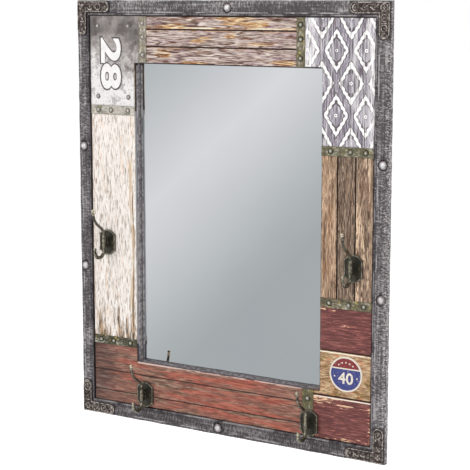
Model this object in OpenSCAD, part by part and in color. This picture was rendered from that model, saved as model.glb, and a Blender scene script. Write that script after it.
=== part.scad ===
// Wall mirror with a patchwork frame and four double coat hooks.
// The front of the mirror faces -Y, the wall is the plane Y = 0, Z is up, and the origin is the
// centre of the back face.

/* [Overall] */
// Width of the whole mirror
mirror_w = 650; // [600:1:720]
// Height of the whole mirror
mirror_h = 800; // [760:1:900]
// Width of the metal-clad border moulding
border_w = 28; // [24:1:34]
// Width of the visible opening
opening_w = 392; // [360:1:396]
// Height of the visible opening
opening_h = 570; // [540:1:572]

/* [Depths] */
// Thickness of the hardboard back cover
back_cover_t = 3; // [2.5:0.5:4]
// Thickness of the pine back rails
rail_t = 12; // [12:1:18]
// Thickness of the carrier board
carrier_t = 7; // [6:0.5:9]
// Thickness of the front boards
board_t = 5; // [4:0.5:8]
// How far the border stands proud of the front boards
border_proud = 3; // [2:0.5:5]
// How far the border wraps down the edge of the carrier board
border_wrap = 4; // [2:0.5:6]

/* [Glass] */
// Thickness of the mirror glass
glass_t = 4; // [3:0.5:5]
// Thickness of the card packing behind the glass
packing_t = 4; // [3:0.5:5]
// How far the glass runs behind the front on each side
glass_cover = 8; // [6:1:8]
// How far the liner stands into the opening
liner_lip = 2; // [1:0.5:3]
// Gap between the glass and the back rails
glass_play = 2; // [1:0.5:2]

/* [Boards] */
// Gap between neighbouring boards
board_gap = 0.8; // [0.4:0.1:1.5]
// Shadow gap between the boards and the border
border_gap = 1; // [0.6:0.1:1.5]
// Joint between the upper and middle boards at the top
top_joint_upper = 347; // [343:1:350]
// Joint between the middle and lower boards at the top
top_joint_lower = 315.5; // [310:0.5:320]
// Joint between the inner and middle boards on the right
right_joint_inner = 227.5; // [222:0.5:232]
// Joint between the middle and outer boards on the right
right_joint_outer = 262; // [256:1:266]
// Joint between the red and the badge board on the right
red_joint = -209; // [-216:0.5:-208]
// Joint between the badge board and the board in the lower right corner
badge_joint = -291.5; // [-294:0.5:-288]
// Joint between the upper and middle boards at the bottom
bottom_joint_upper = -310; // [-314:1:-306]
// Joint between the middle and lower boards at the bottom
bottom_joint_lower = -350; // [-352:1:-346]

/* [Straps] */
// Thickness of the brass straps
strap_t = 1.2; // [0.8:0.1:2]
// Width of the straps
strap_w = 17; // [15:1:19]
// Width of the strap at the bottom
wide_strap_w = 22; // [20:1:24]
// Middle of the upright strap at the top left
strap_top_left_x = -177; // [-180:1:-174]
// Middle of the upright strap at the top right
strap_top_right_x = 154; // [150:1:158]
// Middle of the upright strap at the bottom right
strap_bottom_x = 173; // [170:1:176]
// Middle of the upper strap on the left
strap_left_upper_z = 195; // [188:0.5:196]
// Middle of the lower strap on the left
strap_left_lower_z = -250.5; // [-258:0.5:-250]
// Middle of the upper strap on the right
strap_right_upper_z = 143; // [136:1:144]
// Middle of the lower strap on the right
strap_right_lower_z = -124; // [-131:0.5:-124]
// Thickness of the steel number plate
plate_t = 1; // [0.6:0.1:1.5]
// Radius of the small rivet heads
rivet_r = 3.4; // [2.8:0.1:4]
// Height of the small rivet heads
rivet_h = 1.8; // [1.2:0.1:2.4]

/* [Border hardware] */
// Radius of the dome studs in the border
stud_r = 8; // [6:0.5:8]
// Height of the dome studs
stud_h = 4.5; // [3:0.5:5]
// Height of the upper side studs above the middle
stud_upper_z = 124; // [110:1:128]
// Depth of the lower side studs below the middle
stud_lower_z = 108; // [104:1:122]
// Place of the top stud along the border
stud_top_x = 7; // [-10:1:10]
// Place of the bottom stud along the border
stud_bottom_x = -14; // [-16:1:10]
// Length of a corner bracket's level arm
bracket_level = 73; // [70:1:80]
// Length of a corner bracket's upright arm
bracket_upright = 62; // [58:1:70]
// Width of a corner bracket's arms
bracket_w = 19; // [17:1:20]
// Thickness of the corner brackets
bracket_t = 1.2; // [1:0.1:1.6]

/* [Badge] */
// Diameter of the enamel badge
badge_d = 64; // [56:1:68]
// Thickness of the enamel badge
badge_t = 2; // [1.5:0.5:3]
// Middle of the badge across the mirror
badge_x = 248; // [244:1:252]
// Middle of the badge up the mirror
badge_z = -248; // [-254:1:-248]

/* [Hooks] */
// Distance of the side hooks from the middle
hook_side_x = 261; // [255:1:266]
// Height of the side hooks
hook_side_z = -58; // [-80:1:-50]
// Distance of the bottom hooks from the middle
hook_bottom_x = 177; // [174:1:180]
// Height of the bottom hooks
hook_bottom_z = -346; // [-347:1:-345]
// Width of the hook plate
hook_plate_w = 35; // [32:1:38]
// Height of the hook plate's straight sides
hook_plate_side = 34; // [30:1:36]
// Height of the whole hook plate
hook_plate_h = 49; // [46:1:52]
// Thickness of the hook plate at its rim
hook_plate_t = 4.2; // [3.5:0.1:5]
// Radius of the hook's rod
rod_r = 3.2; // [2.8:0.1:3.6]
// Distance of the upright rod from the board
rod_out = 14; // [13:0.5:15]
// Radius of the bend under the upper arm
upper_bend_r = 22; // [18:1:26]
// How far the upper arm leans out from upright, in degrees
arm_lean = 56; // [52:1:60]
// Length of the leaning part of the upper arm
arm_length = 12; // [10:1:14]
// Radius of the bend that turns the upper arm up again
return_bend_r = 30; // [26:1:34]
// How far the tip of the upper arm leans out from upright, in degrees
tip_lean = 12; // [8:1:16]
// Length of the tip of the upper arm
tip_length = 10; // [9:0.5:12]
// Radius of the lower curl
curl_r = 14.5; // [13.5:0.5:15]
// Radius of the ball at each tip
tip_r = 3.9; // [3.6:0.1:4.4]

/* [Back frame] */
// How far the back rails sit inside the outer edge
rail_inset = 16; // [14:1:20]
// Diameter of the rail dowels
dowel_d = 6; // [5:0.5:7]
// Length of the rail dowels
dowel_length = 40; // [30:1:50]
// Radius of the carrier screws
carrier_screw_r = 1.7; // [1.5:0.1:2]
// Radius of the back cover screws
cover_screw_r = 1.5; // [1.3:0.1:1.8]

/* [Hanging] */
// Distance between the two keyholes
hanger_spacing = 400; // [380:10:420]
// Height of the keyholes' round part above the middle
hanger_z = 336; // [330:1:345]
// Radius of the keyhole's round part
keyhole_r = 4.5; // [4:0.1:5]
// Width of the keyhole's slot
keyhole_slot_w = 4.6; // [4.2:0.1:5]
// Thickness of the hanger plates
hanger_t = 1.5; // [1.2:0.1:2]

/* [Hidden] */

// Depths, from the wall (0) to the front (negative Y).
rail_back_y = -back_cover_t;
carrier_back_y = rail_back_y - rail_t;
board_back_y = carrier_back_y - carrier_t;
face_y = board_back_y - board_t;
border_front_y = face_y - border_proud;
border_back_y = board_back_y + border_wrap;
packing_front_y = rail_back_y - packing_t;
glass_front_y = packing_front_y - glass_t;
strap_front_y = face_y - strap_t;

// Half sizes across (x) and up (z).
edge_x = mirror_w / 2;
edge_z = mirror_h / 2;
inner_x = edge_x - border_w;
inner_z = edge_z - border_w;
field_x = inner_x - border_gap;
field_z = inner_z - border_gap;
open_x = opening_w / 2;
open_z = opening_h / 2;
glass_x = open_x + glass_cover;
glass_z = open_z + glass_cover;
rail_inner_x = glass_x + glass_play;
liner_w = liner_lip + glass_cover + glass_play;
rail_inner_z = glass_z + glass_play;
rail_outer_x = edge_x - rail_inset;
rail_outer_z = edge_z - rail_inset;

// The two sides' boards: each from its outer to its inner edge.
half_gap = board_gap / 2;
left_edge = [-field_x, -open_x];
right_edge = [open_x, field_x];

// Border moulding section.
border_shell = 3;
border_round = 4;
bead_r = 1.5;
bead_drop = 0.8;
fit_gap = 0.2;

// Fasteners.
shank_r = 1.2;
shank_play = 0.1;
strap_nail_length = 9;
bracket_nail_length = 6;
stud_shank_r = 1.6;
stud_shank_length = 11;
hook_screw_r = 1.5;
hook_screw_length = 11;
hook_screw_x = 10.5;
hook_field_t = 2.6;
hook_rim_w = 2.2;
hook_head_r = 2.7;
hook_head_h = 1.5;
head_cone = 2.4;
screw_head_r = 3.4;
rivet_edge = 17;

// Hook rod.
rod_half = 12;
web_half = 10.5;
web_w = 5;
joint_swell = 0.15;
joint_step = 0.8;
tip_rod_r = rod_r - 0.6;
bead_r_out = rod_r + 0.3;
bead_back = 8;
bead_w = 1.8;

// Rivets: across and up, one per head, each on the front of a strap.
level_steps_left = [-279, -250, -211];
level_steps_right = [214, 252, 281];
upright_steps = [358, 333, 300];
strap_rivets = concat(
    [for (z = upright_steps) [strap_top_left_x, z]],
    [for (z = upright_steps) [strap_top_right_x, z]],
    [for (x = level_steps_left) [x, strap_left_upper_z]],
    [for (x = level_steps_left) [x, strap_left_lower_z]],
    [for (x = level_steps_right) [x, strap_right_upper_z]],
    [for (x = level_steps_right) [x, strap_right_lower_z]],
    [[strap_bottom_x, -open_z - rivet_edge]]
);
plate_right = strap_top_left_x - strap_w / 2;
plate_low = strap_left_upper_z + strap_w / 2;
plate_rivets = [
    for (x = [-field_x + rivet_edge, -open_x - 0.8 * rivet_edge])
        for (z = [field_z - rivet_edge - 2, plate_low + rivet_edge]) [x, z]
];

// Hooks: across, up, and the depth of the surface that the plate lies on.
hook_places = [
    [-hook_side_x, hook_side_z, face_y],
    [hook_side_x, hook_side_z, face_y],
    [-hook_bottom_x, hook_bottom_z, face_y],
    [hook_bottom_x, hook_bottom_z, strap_front_y]
];

// Studs in the border: across and up.
stud_line_x = edge_x - 11.5;
stud_line_z = edge_z - 13.5;
studs = [
    [stud_top_x, stud_line_z],
    [stud_bottom_x, -stud_line_z],
    [-stud_line_x, stud_upper_z],
    [-stud_line_x, -stud_lower_z],
    [stud_line_x, stud_upper_z],
    [stud_line_x, -stud_lower_z]
];

// Corner bracket: the outer corner's distance from the mirror's edge, and its nails.
bracket_edge = 2.5;
nail_r = 2;
nail_h = 1;
bracket_nail_steps = [
    [bracket_w / 2, bracket_w / 2],
    [bracket_level - bracket_w / 2, bracket_w / 2],
    [bracket_w / 2, bracket_upright - bracket_w / 2]
];
corners = [[-1, 1], [1, 1], [-1, -1], [1, -1]];

// Back frame fasteners: across and up.
rail_mid_x = (rail_inner_x + rail_outer_x) / 2;
rail_mid_z = (rail_inner_z + rail_outer_z) / 2;
dowel_spread = 26;
dowel_y = rail_back_y - rail_t / 2;
carrier_screw_x = [-rail_mid_x, 0, rail_mid_x];
carrier_screw_side_z = 140;
carrier_screw_places = concat(
    [for (x = carrier_screw_x) for (s = [-1, 1]) [x, s * rail_mid_z]],
    [for (sx = [-1, 1]) for (sz = [-1, 1]) [sx * rail_mid_x, sz * carrier_screw_side_z]]
);
carrier_screw_length = rail_t + 4;
cover_screw_x = [-rail_outer_x + 12, -100, 100, rail_outer_x - 12];
cover_screw_side_z = 190;
cover_screw_places = concat(
    [for (x = cover_screw_x) for (s = [-1, 1]) [x, s * (rail_outer_z - 12)]],
    [for (sx = [-1, 1]) for (sz = [-1, 0, 1]) [sx * (rail_outer_x - 12), sz * cover_screw_side_z]]
);
cover_screw_length = 12;
cover_head_r = 3;
cover_head_cone = 1.6;

// Hanger plates.
hanger_w = 52;
hanger_h = 26;
hanger_window_gap = 2;
hanger_screw_x = 19;
hanger_screw_r = 1.6;
hanger_head_r = 2.8;
hanger_head_h = 1.2;
hanger_screw_length = 10;
keyhole_rise = 8;
pocket_w = 16;
pocket_h = 22;
pocket_depth = 9;

function inside(p, x0, x1, z0, z1) = p[0] > x0 && p[0] < x1 && p[1] > z0 && p[1] < z1;

// A block between two distances across, two heights and two depths.
module block(x0, x1, z0, z1, y_front, y_back) {
    translate([x0, y_front, z0]) cube([x1 - x0, y_back - y_front, z1 - z0]);
}

// Places a shape drawn looking at the mirror: local X is across, local Y is up, local Z is out.
module facing(x, y, z) {
    translate([x, y, z]) rotate([90, 0, 0]) children();
}

// The same, seen from behind: local Z points at the wall.
module facing_back(x, y, z) {
    translate([x, y, z]) rotate([-90, 0, 0]) children();
}

// A low dome with a flat underside.
module dome(r, h) {
    sphere_r = (r * r + h * h) / (2 * h);
    rotate_extrude($fn = 48) {
        intersection() {
            translate([0, h - sphere_r]) circle(sphere_r, $fn = 96);
            square([r + 1, h]);
        }
    }
}

// A domed nail whose head sits on a surface.
module nail(r, h, shank, length) {
    union() {
        dome(r, h);
        translate([0, 0, -length]) cylinder(r = shank, h = length + h / 2, $fn = 24);
    }
}

// Holes for every nail and screw that goes through a board or strap at the front.
module front_holes(x0, x1, z0, z1) {
    for (p = concat(strap_rivets, plate_rivets)) {
        if (inside(p, x0 - 3, x1 + 3, z0 - 3, z1 + 3)) {
            facing(p[0], face_y + strap_nail_length, p[1])
                cylinder(r = shank_r + shank_play, h = strap_nail_length + 6, $fn = 24);
        }
    }
    for (h = hook_places) {
        for (s = [-1, 1]) {
            if (inside([h[0] + s * hook_screw_x, h[1]], x0, x1, z0, z1)) {
                facing(h[0] + s * hook_screw_x, face_y + hook_screw_length, h[1])
                    cylinder(r = hook_screw_r + shank_play, h = hook_screw_length + 6, $fn = 24);
            }
        }
    }
}

// A front board with its nail holes.
module board(x0, x1, z0, z1) {
    difference() {
        block(x0, x1, z0, z1, face_y, board_back_y);
        front_holes(x0, x1, z0, z1);
    }
}

// A front board with a second, joined block, which makes it L-shaped.
module notched_board(a, b) {
    difference() {
        union() {
            block(a[0], a[1], a[2], a[3], face_y, board_back_y);
            block(b[0], b[1], b[2], b[3], face_y, board_back_y);
        }
        front_holes(a[0], a[1], a[2], a[3]);
        front_holes(b[0], b[1], b[2], b[3]);
    }
}

// Carrier: one board that everything at the front is fixed to.
module carrier_board() {
    cover_x = edge_x - border_shell - fit_gap;
    cover_z = edge_z - border_shell - fit_gap;
    color("burlywood") difference() {
        block(-cover_x, cover_x, -cover_z, cover_z, board_back_y, carrier_back_y);
        block(-open_x, open_x, -open_z, open_z, board_back_y - 1, carrier_back_y + 1);
        front_holes(-field_x, field_x, -field_z, field_z);
        for (p = carrier_screw_places) {
            facing_back(p[0], rail_back_y - carrier_screw_length - 0.5, p[1])
                cylinder(r = carrier_screw_r + shank_play, h = 10, $fn = 24);
        }
        for (p = studs) {
            facing(p[0], border_front_y + stud_shank_length, p[1])
                cylinder(r = stud_shank_r + shank_play, h = stud_shank_length, $fn = 24);
        }
    }
}

// Back rails: pine, doweled at the corners.
module rail_holes() {
    for (p = carrier_screw_places) {
        facing_back(p[0], carrier_back_y - 1, p[1])
            cylinder(r = carrier_screw_r + shank_play, h = rail_t + 2, $fn = 24);
        facing_back(p[0], rail_back_y - head_cone, p[1])
            cylinder(r1 = carrier_screw_r + shank_play, r2 = screw_head_r + shank_play,
                     h = head_cone, $fn = 32);
    }
    for (p = cover_screw_places) {
        facing_back(p[0], -cover_screw_length - 0.5, p[1])
            cylinder(r = cover_screw_r + shank_play, h = cover_screw_length + 1, $fn = 24);
    }
    for (sx = [-1, 1]) {
        for (sz = [-1, 1]) {
            for (d = [-1, 1]) {
                translate([sx * rail_mid_x + d * dowel_spread, dowel_y,
                           sz * rail_inner_z - dowel_length / 2 - 1])
                    cylinder(d = dowel_d + 0.1, h = dowel_length + 2, $fn = 48);
            }
        }
    }
}

module upright_rail(s) {
    difference() {
        block(min(s * rail_inner_x, s * rail_outer_x), max(s * rail_inner_x, s * rail_outer_x),
              -rail_inner_z, rail_inner_z, carrier_back_y, rail_back_y);
        rail_holes();
    }
}

module back_rail_top() {
    color("wheat") difference() {
        block(-rail_outer_x, rail_outer_x, rail_inner_z, rail_outer_z,
              carrier_back_y, rail_back_y);
        rail_holes();
        for (s = [-1, 1]) {
            block(s * hanger_spacing / 2 - pocket_w / 2, s * hanger_spacing / 2 + pocket_w / 2,
                  hanger_z - pocket_h / 3, hanger_z + 2 * pocket_h / 3,
                  rail_back_y - pocket_depth, rail_back_y + 1);
            for (d = [-1, 1]) {
                facing_back(s * hanger_spacing / 2 + d * hanger_screw_x,
                            rail_back_y - hanger_screw_length, hanger_z)
                    cylinder(r = hanger_screw_r + shank_play, h = hanger_screw_length + 1,
                             $fn = 24);
            }
        }
    }
}

module back_rail_bottom() {
    color("wheat") difference() {
        block(-rail_outer_x, rail_outer_x, -rail_outer_z, -rail_inner_z,
              carrier_back_y, rail_back_y);
        rail_holes();
    }
}

module back_rail_left() {
    color("wheat") upright_rail(-1);
}

module back_rail_right() {
    color("wheat") upright_rail(1);
}

module rail_dowels() {
    color("tan") for (sx = [-1, 1]) {
        for (sz = [-1, 1]) {
            for (d = [-1, 1]) {
                translate([sx * rail_mid_x + d * dowel_spread, dowel_y,
                           sz * rail_inner_z - dowel_length / 2])
                    cylinder(d = dowel_d, h = dowel_length, $fn = 48);
            }
        }
    }
}

module carrier_screws() {
    color("silver") for (p = carrier_screw_places) {
        facing_back(p[0], rail_back_y - carrier_screw_length, p[1]) union() {
            cylinder(r = carrier_screw_r, h = carrier_screw_length, $fn = 24);
            translate([0, 0, carrier_screw_length - head_cone])
                cylinder(r1 = carrier_screw_r, r2 = screw_head_r, h = head_cone, $fn = 32);
        }
    }
}

// Liner: four mitred strips between the carrier and the glass.
module liner_strip(length) {
    inner = length - 2 * liner_w;
    linear_extrude(glass_front_y - carrier_back_y)
        polygon([[-length / 2, 0], [length / 2, 0], [inner / 2, -liner_w],
                 [-inner / 2, -liner_w]]);
}

module liner_side(length, outer, turn) {
    color("gray") rotate([0, turn, 0]) translate([0, glass_front_y, outer]) rotate([90, 0, 0])
        liner_strip(length);
}

module liner_top() {
    liner_side(2 * rail_inner_x, rail_inner_z, 0);
}

module liner_bottom() {
    liner_side(2 * rail_inner_x, rail_inner_z, 180);
}

module liner_left() {
    liner_side(2 * rail_inner_z, rail_inner_x, -90);
}

module liner_right() {
    liner_side(2 * rail_inner_z, rail_inner_x, 90);
}

module mirror_glass() {
    color("lightsteelblue")
        block(-glass_x, glass_x, -glass_z, glass_z, glass_front_y, packing_front_y);
}

module packing_sheet() {
    color("tan") block(-glass_x, glass_x, -glass_z, glass_z, packing_front_y, rail_back_y);
}

module back_cover() {
    window_x = hanger_w / 2 + hanger_window_gap;
    window_z = hanger_h / 2 + hanger_window_gap;
    window_mid = hanger_z + keyhole_rise / 2;
    color("peru") difference() {
        block(-rail_outer_x, rail_outer_x, -rail_outer_z, rail_outer_z, rail_back_y, 0);
        for (s = [-1, 1]) {
            block(s * hanger_spacing / 2 - window_x, s * hanger_spacing / 2 + window_x,
                  window_mid - window_z, window_mid + window_z, rail_back_y - 1, 1);
        }
        for (p = cover_screw_places) {
            facing_back(p[0], rail_back_y - 1, p[1])
                cylinder(r = cover_screw_r + shank_play, h = back_cover_t + 2, $fn = 24);
            facing_back(p[0], -cover_head_cone, p[1])
                cylinder(r1 = cover_screw_r + shank_play, r2 = cover_head_r + shank_play,
                         h = cover_head_cone, $fn = 32);
        }
    }
}

module back_cover_screws() {
    color("silver") for (p = cover_screw_places) {
        facing_back(p[0], -cover_screw_length, p[1]) union() {
            cylinder(r = cover_screw_r, h = cover_screw_length, $fn = 24);
            translate([0, 0, cover_screw_length - cover_head_cone])
                cylinder(r1 = cover_screw_r, r2 = cover_head_r, h = cover_head_cone, $fn = 32);
        }
    }
}

// Border: a moulding with a bead on its inner edge and a rounded outer edge, which wraps the
// carrier's edge. Its section has the inner edge at 0 and the outer edge at border_w.
module border_section() {
    front = face_y - border_front_y + board_t;
    union() {
        difference() {
            square([border_w, front]);
            translate([border_w - border_round, front - border_round]) difference() {
                square(border_round + 1);
                circle(border_round, $fn = 64);
            }
            translate([-1, front - bead_drop]) square([2 * bead_r + 1.6, 2]);
        }
        translate([bead_r, front - bead_r]) circle(bead_r, $fn = 32);
        translate([border_w - border_shell, -border_wrap])
            square([border_shell, border_wrap + 1]);
    }
}

module border_side(length, outer, turn) {
    rotate([0, turn, 0]) difference() {
        translate([-length / 2, board_back_y, outer - border_w]) rotate([90, 0, 90])
            linear_extrude(length) rotate([0, 0, 90]) border_section();
        for (s = [-1, 1]) {
            translate([s * length / 2, 0, outer]) rotate([0, s * 45, 0])
                translate([s * border_w - border_w, -mirror_w / 4, -3 * border_w])
                    cube([2 * border_w, mirror_w / 2, 6 * border_w]);
        }
    }
}

module stud_holes() {
    for (p = studs) {
        facing(p[0], border_back_y + 1, p[1])
            cylinder(r = stud_shank_r + shank_play, h = 20, $fn = 24);
    }
    for (c = corners) {
        for (n = bracket_nail_steps) {
            facing(c[0] * (edge_x - bracket_edge - n[0]), board_back_y - 2,
                   c[1] * (edge_z - bracket_edge - n[1]))
                cylinder(r = shank_r + shank_play, h = 20, $fn = 24);
        }
    }
}

module border_piece(length, outer, turn) {
    color("dimgray") difference() {
        border_side(length, outer, turn);
        stud_holes();
    }
}

module border_top() {
    border_piece(mirror_w, edge_z, 0);
}

module border_bottom() {
    border_piece(mirror_w, edge_z, 180);
}

module border_left() {
    border_piece(mirror_h, edge_x, -90);
}

module border_right() {
    border_piece(mirror_h, edge_x, 90);
}

// Corner bracket: an L of pressed steel with round ends, a raised rim, a rosette and scrolls.
module bracket_outline(w, level, upright) {
    union() {
        translate([0, 0]) square([level - w / 2, w]);
        translate([level - w / 2, w / 2]) circle(w / 2, $fn = 48);
        square([w, upright - w / 2]);
        translate([w / 2, upright - w / 2]) circle(w / 2, $fn = 48);
    }
}

module scroll_ring(x, y, r) {
    translate([x, y, bracket_t]) rotate_extrude($fn = 40) translate([r, 0]) intersection() {
        circle(1, $fn = 24);
        translate([-1, 0]) square([2, 1]);
    }
}

module bracket_at(sx, sz) {
    rim = 1.6;
    rim_h = 0.8;
    color("dimgray") translate([sx * (edge_x - bracket_edge), border_front_y,
                                sz * (edge_z - bracket_edge)])
        mirror([sx > 0 ? 1 : 0, 0, 0]) mirror([0, 0, sz > 0 ? 1 : 0]) rotate([90, 0, 0])
        difference() {
            union() {
                linear_extrude(bracket_t)
                    bracket_outline(bracket_w, bracket_level, bracket_upright);
                linear_extrude(bracket_t + rim_h) difference() {
                    bracket_outline(bracket_w, bracket_level, bracket_upright);
                    translate([rim, rim]) bracket_outline(
                        bracket_w - 2 * rim, bracket_level - 2 * rim, bracket_upright - 2 * rim);
                }
                for (n = bracket_nail_steps) {
                    scroll_ring(n[0], n[1], bracket_w / 4 + 0.6);
                }
                scroll_ring(bracket_level / 2 - 2, bracket_w / 2, bracket_w / 4);
                scroll_ring(bracket_w / 2, bracket_upright / 2 - 1, bracket_w / 4 - 0.8);
            }
            for (n = bracket_nail_steps) {
                translate([n[0], n[1], -1]) cylinder(r = shank_r + shank_play, h = 4, $fn = 24);
            }
        }
}

module corner_bracket_top_left() {
    bracket_at(-1, 1);
}

module corner_bracket_top_right() {
    bracket_at(1, 1);
}

module corner_bracket_bottom_left() {
    bracket_at(-1, -1);
}

module corner_bracket_bottom_right() {
    bracket_at(1, -1);
}

module bracket_nails() {
    color("darkgray") for (c = corners) {
        for (n = bracket_nail_steps) {
            facing(c[0] * (edge_x - bracket_edge - n[0]), border_front_y - bracket_t,
                   c[1] * (edge_z - bracket_edge - n[1]))
                nail(nail_r, nail_h, shank_r, bracket_nail_length);
        }
    }
}

module border_studs() {
    color("silver") for (p = studs) {
        facing(p[0], border_front_y, p[1]) nail(stud_r, stud_h, stud_shank_r, stud_shank_length);
    }
}

// Front boards. Each joint lies under the middle of a strap, where there is one.
module plate_base_board() {
    color("gray") notched_board(
        [left_edge[0], strap_top_left_x - half_gap, open_z, field_z],
        [left_edge[0], left_edge[1], strap_left_upper_z + half_gap, open_z]);
}

module top_board(z0, z1) {
    color("rosybrown")
        board(strap_top_left_x + half_gap, strap_top_right_x - half_gap, z0, z1);
}

module top_board_upper() {
    top_board(top_joint_upper + half_gap, field_z);
}

module top_board_middle() {
    top_board(top_joint_lower + half_gap, top_joint_upper - half_gap);
}

module top_board_lower() {
    top_board(open_z, top_joint_lower - half_gap);
}

module pattern_board() {
    color("lavender") notched_board(
        [strap_top_right_x + half_gap, right_edge[1], open_z, field_z],
        [right_edge[0], right_edge[1], strap_right_upper_z + half_gap, open_z]);
}

module right_board(x0, x1) {
    color("tan") board(x0, x1, strap_right_lower_z + half_gap, strap_right_upper_z - half_gap);
}

module right_board_inner() {
    right_board(right_edge[0], right_joint_inner - half_gap);
}

module right_board_middle() {
    right_board(right_joint_inner + half_gap, right_joint_outer - half_gap);
}

module right_board_outer() {
    right_board(right_joint_outer + half_gap, right_edge[1]);
}

module red_board() {
    color("brown") board(right_edge[0], right_edge[1], red_joint + half_gap,
                         strap_right_lower_z - half_gap);
}

module badge_board() {
    color("khaki") notched_board(
        [strap_bottom_x + half_gap, right_edge[1], badge_joint + half_gap, -open_z],
        [right_edge[0], right_edge[1], -open_z, red_joint - half_gap]);
}

module corner_board() {
    color("brown") board(strap_bottom_x + half_gap, right_edge[1], -field_z,
                         badge_joint - half_gap);
}

module bottom_board_upper() {
    color("firebrick") notched_board(
        [left_edge[0], strap_bottom_x - half_gap, bottom_joint_upper + half_gap, -open_z],
        [left_edge[0], left_edge[1], -open_z, strap_left_lower_z - half_gap]);
}

module bottom_board_middle() {
    color("firebrick") board(left_edge[0], strap_bottom_x - half_gap,
                             bottom_joint_lower + half_gap, bottom_joint_upper - half_gap);
}

module bottom_board_lower() {
    color("firebrick") board(left_edge[0], strap_bottom_x - half_gap, -field_z,
                             bottom_joint_lower - half_gap);
}

module white_board() {
    color("linen") board(left_edge[0], left_edge[1], strap_left_lower_z + half_gap,
                         strap_left_upper_z - half_gap);
}

// Steel number plate: an L round the corner of the opening.
module number_plate() {
    color("lightgray") difference() {
        union() {
            block(left_edge[0], plate_right, open_z, field_z, face_y - plate_t, face_y);
            block(left_edge[0], left_edge[1], plate_low, open_z, face_y - plate_t, face_y);
        }
        front_holes(left_edge[0], plate_right, plate_low, field_z);
    }
}

// Straps.
module strap(x0, x1, z0, z1) {
    color("darkkhaki") difference() {
        block(x0, x1, z0, z1, strap_front_y, face_y);
        front_holes(x0, x1, z0, z1);
    }
}

module upright_strap(x, w, z0, z1) {
    strap(x - w / 2, x + w / 2, z0, z1);
}

module level_strap(edges, z) {
    strap(edges[0], edges[1], z - strap_w / 2, z + strap_w / 2);
}

module strap_top_left() {
    upright_strap(strap_top_left_x, strap_w, open_z, field_z);
}

module strap_top_right() {
    upright_strap(strap_top_right_x, strap_w, open_z, field_z);
}

module strap_left_upper() {
    level_strap(left_edge, strap_left_upper_z);
}

module strap_left_lower() {
    level_strap(left_edge, strap_left_lower_z);
}

module strap_right_upper() {
    level_strap(right_edge, strap_right_upper_z);
}

module strap_right_lower() {
    level_strap(right_edge, strap_right_lower_z);
}

module strap_bottom() {
    upright_strap(strap_bottom_x, wide_strap_w, -field_z, -open_z);
}

module rivets() {
    color("gainsboro") union() {
        for (p = strap_rivets) {
            facing(p[0], strap_front_y, p[1])
                nail(rivet_r, rivet_h, shank_r, strap_nail_length);
        }
        for (p = plate_rivets) {
            facing(p[0], face_y - plate_t, p[1])
                nail(rivet_r, rivet_h, shank_r, strap_nail_length);
        }
    }
}

// Enamel badge: a disc with a raised rim.
module enamel_badge() {
    rim = 2.5;
    color("darkred") facing(badge_x, face_y, badge_z) difference() {
        cylinder(d = badge_d, h = badge_t, $fn = 96);
        translate([0, 0, badge_t - 0.5]) cylinder(d = badge_d - 2 * rim, h = 1, $fn = 96);
    }
}

// Hooks: one casting each, a shouldered plate with a raised rim, and an S-shaped rod.
module hook_outline(inset) {
    half_w = hook_plate_w / 2 - inset;
    side = hook_plate_side / 2 - inset;
    arch_r = hook_plate_w / 2 + 1.5 - inset;
    arch_z = hook_plate_h / 2 - hook_plate_w / 2 - 1.5;
    union() {
        translate([-half_w, -side]) square([2 * half_w, 2 * side]);
        for (s = [-1, 1]) {
            intersection() {
                translate([0, s * arch_z]) circle(arch_r, $fn = 96);
                translate([-half_w, s > 0 ? 0 : -hook_plate_h])
                    square([2 * half_w, hook_plate_h]);
            }
        }
    }
}

// Turns a shape drawn as distance out (X) and height (Y) into the hook's middle plane.
module in_profile() {
    rotate([90, 0, -90]) children();
}

module ball(place, r) {
    translate([place[0], place[1], 0]) sphere(r, $fn = 32);
}

// A straight stretch of rod between two distances from a place, at a lean from upright.
module stretch(place, lean, from, to, r_from, r_to) {
    translate([place[0], place[1], 0]) rotate([0, 0, -lean]) rotate([-90, 0, 0])
        translate([0, 0, from]) cylinder(r1 = r_from, r2 = r_to, h = to - from, $fn = 32);
}

// A bend in the rod, round a centre, that starts at an angle.
module bend(centre, r, start, sweep) {
    translate([centre[0], centre[1], 0]) rotate([0, 0, start])
        rotate_extrude(angle = sweep, $fn = 96) translate([r, 0]) circle(rod_r, $fn = 32);
}

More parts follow.
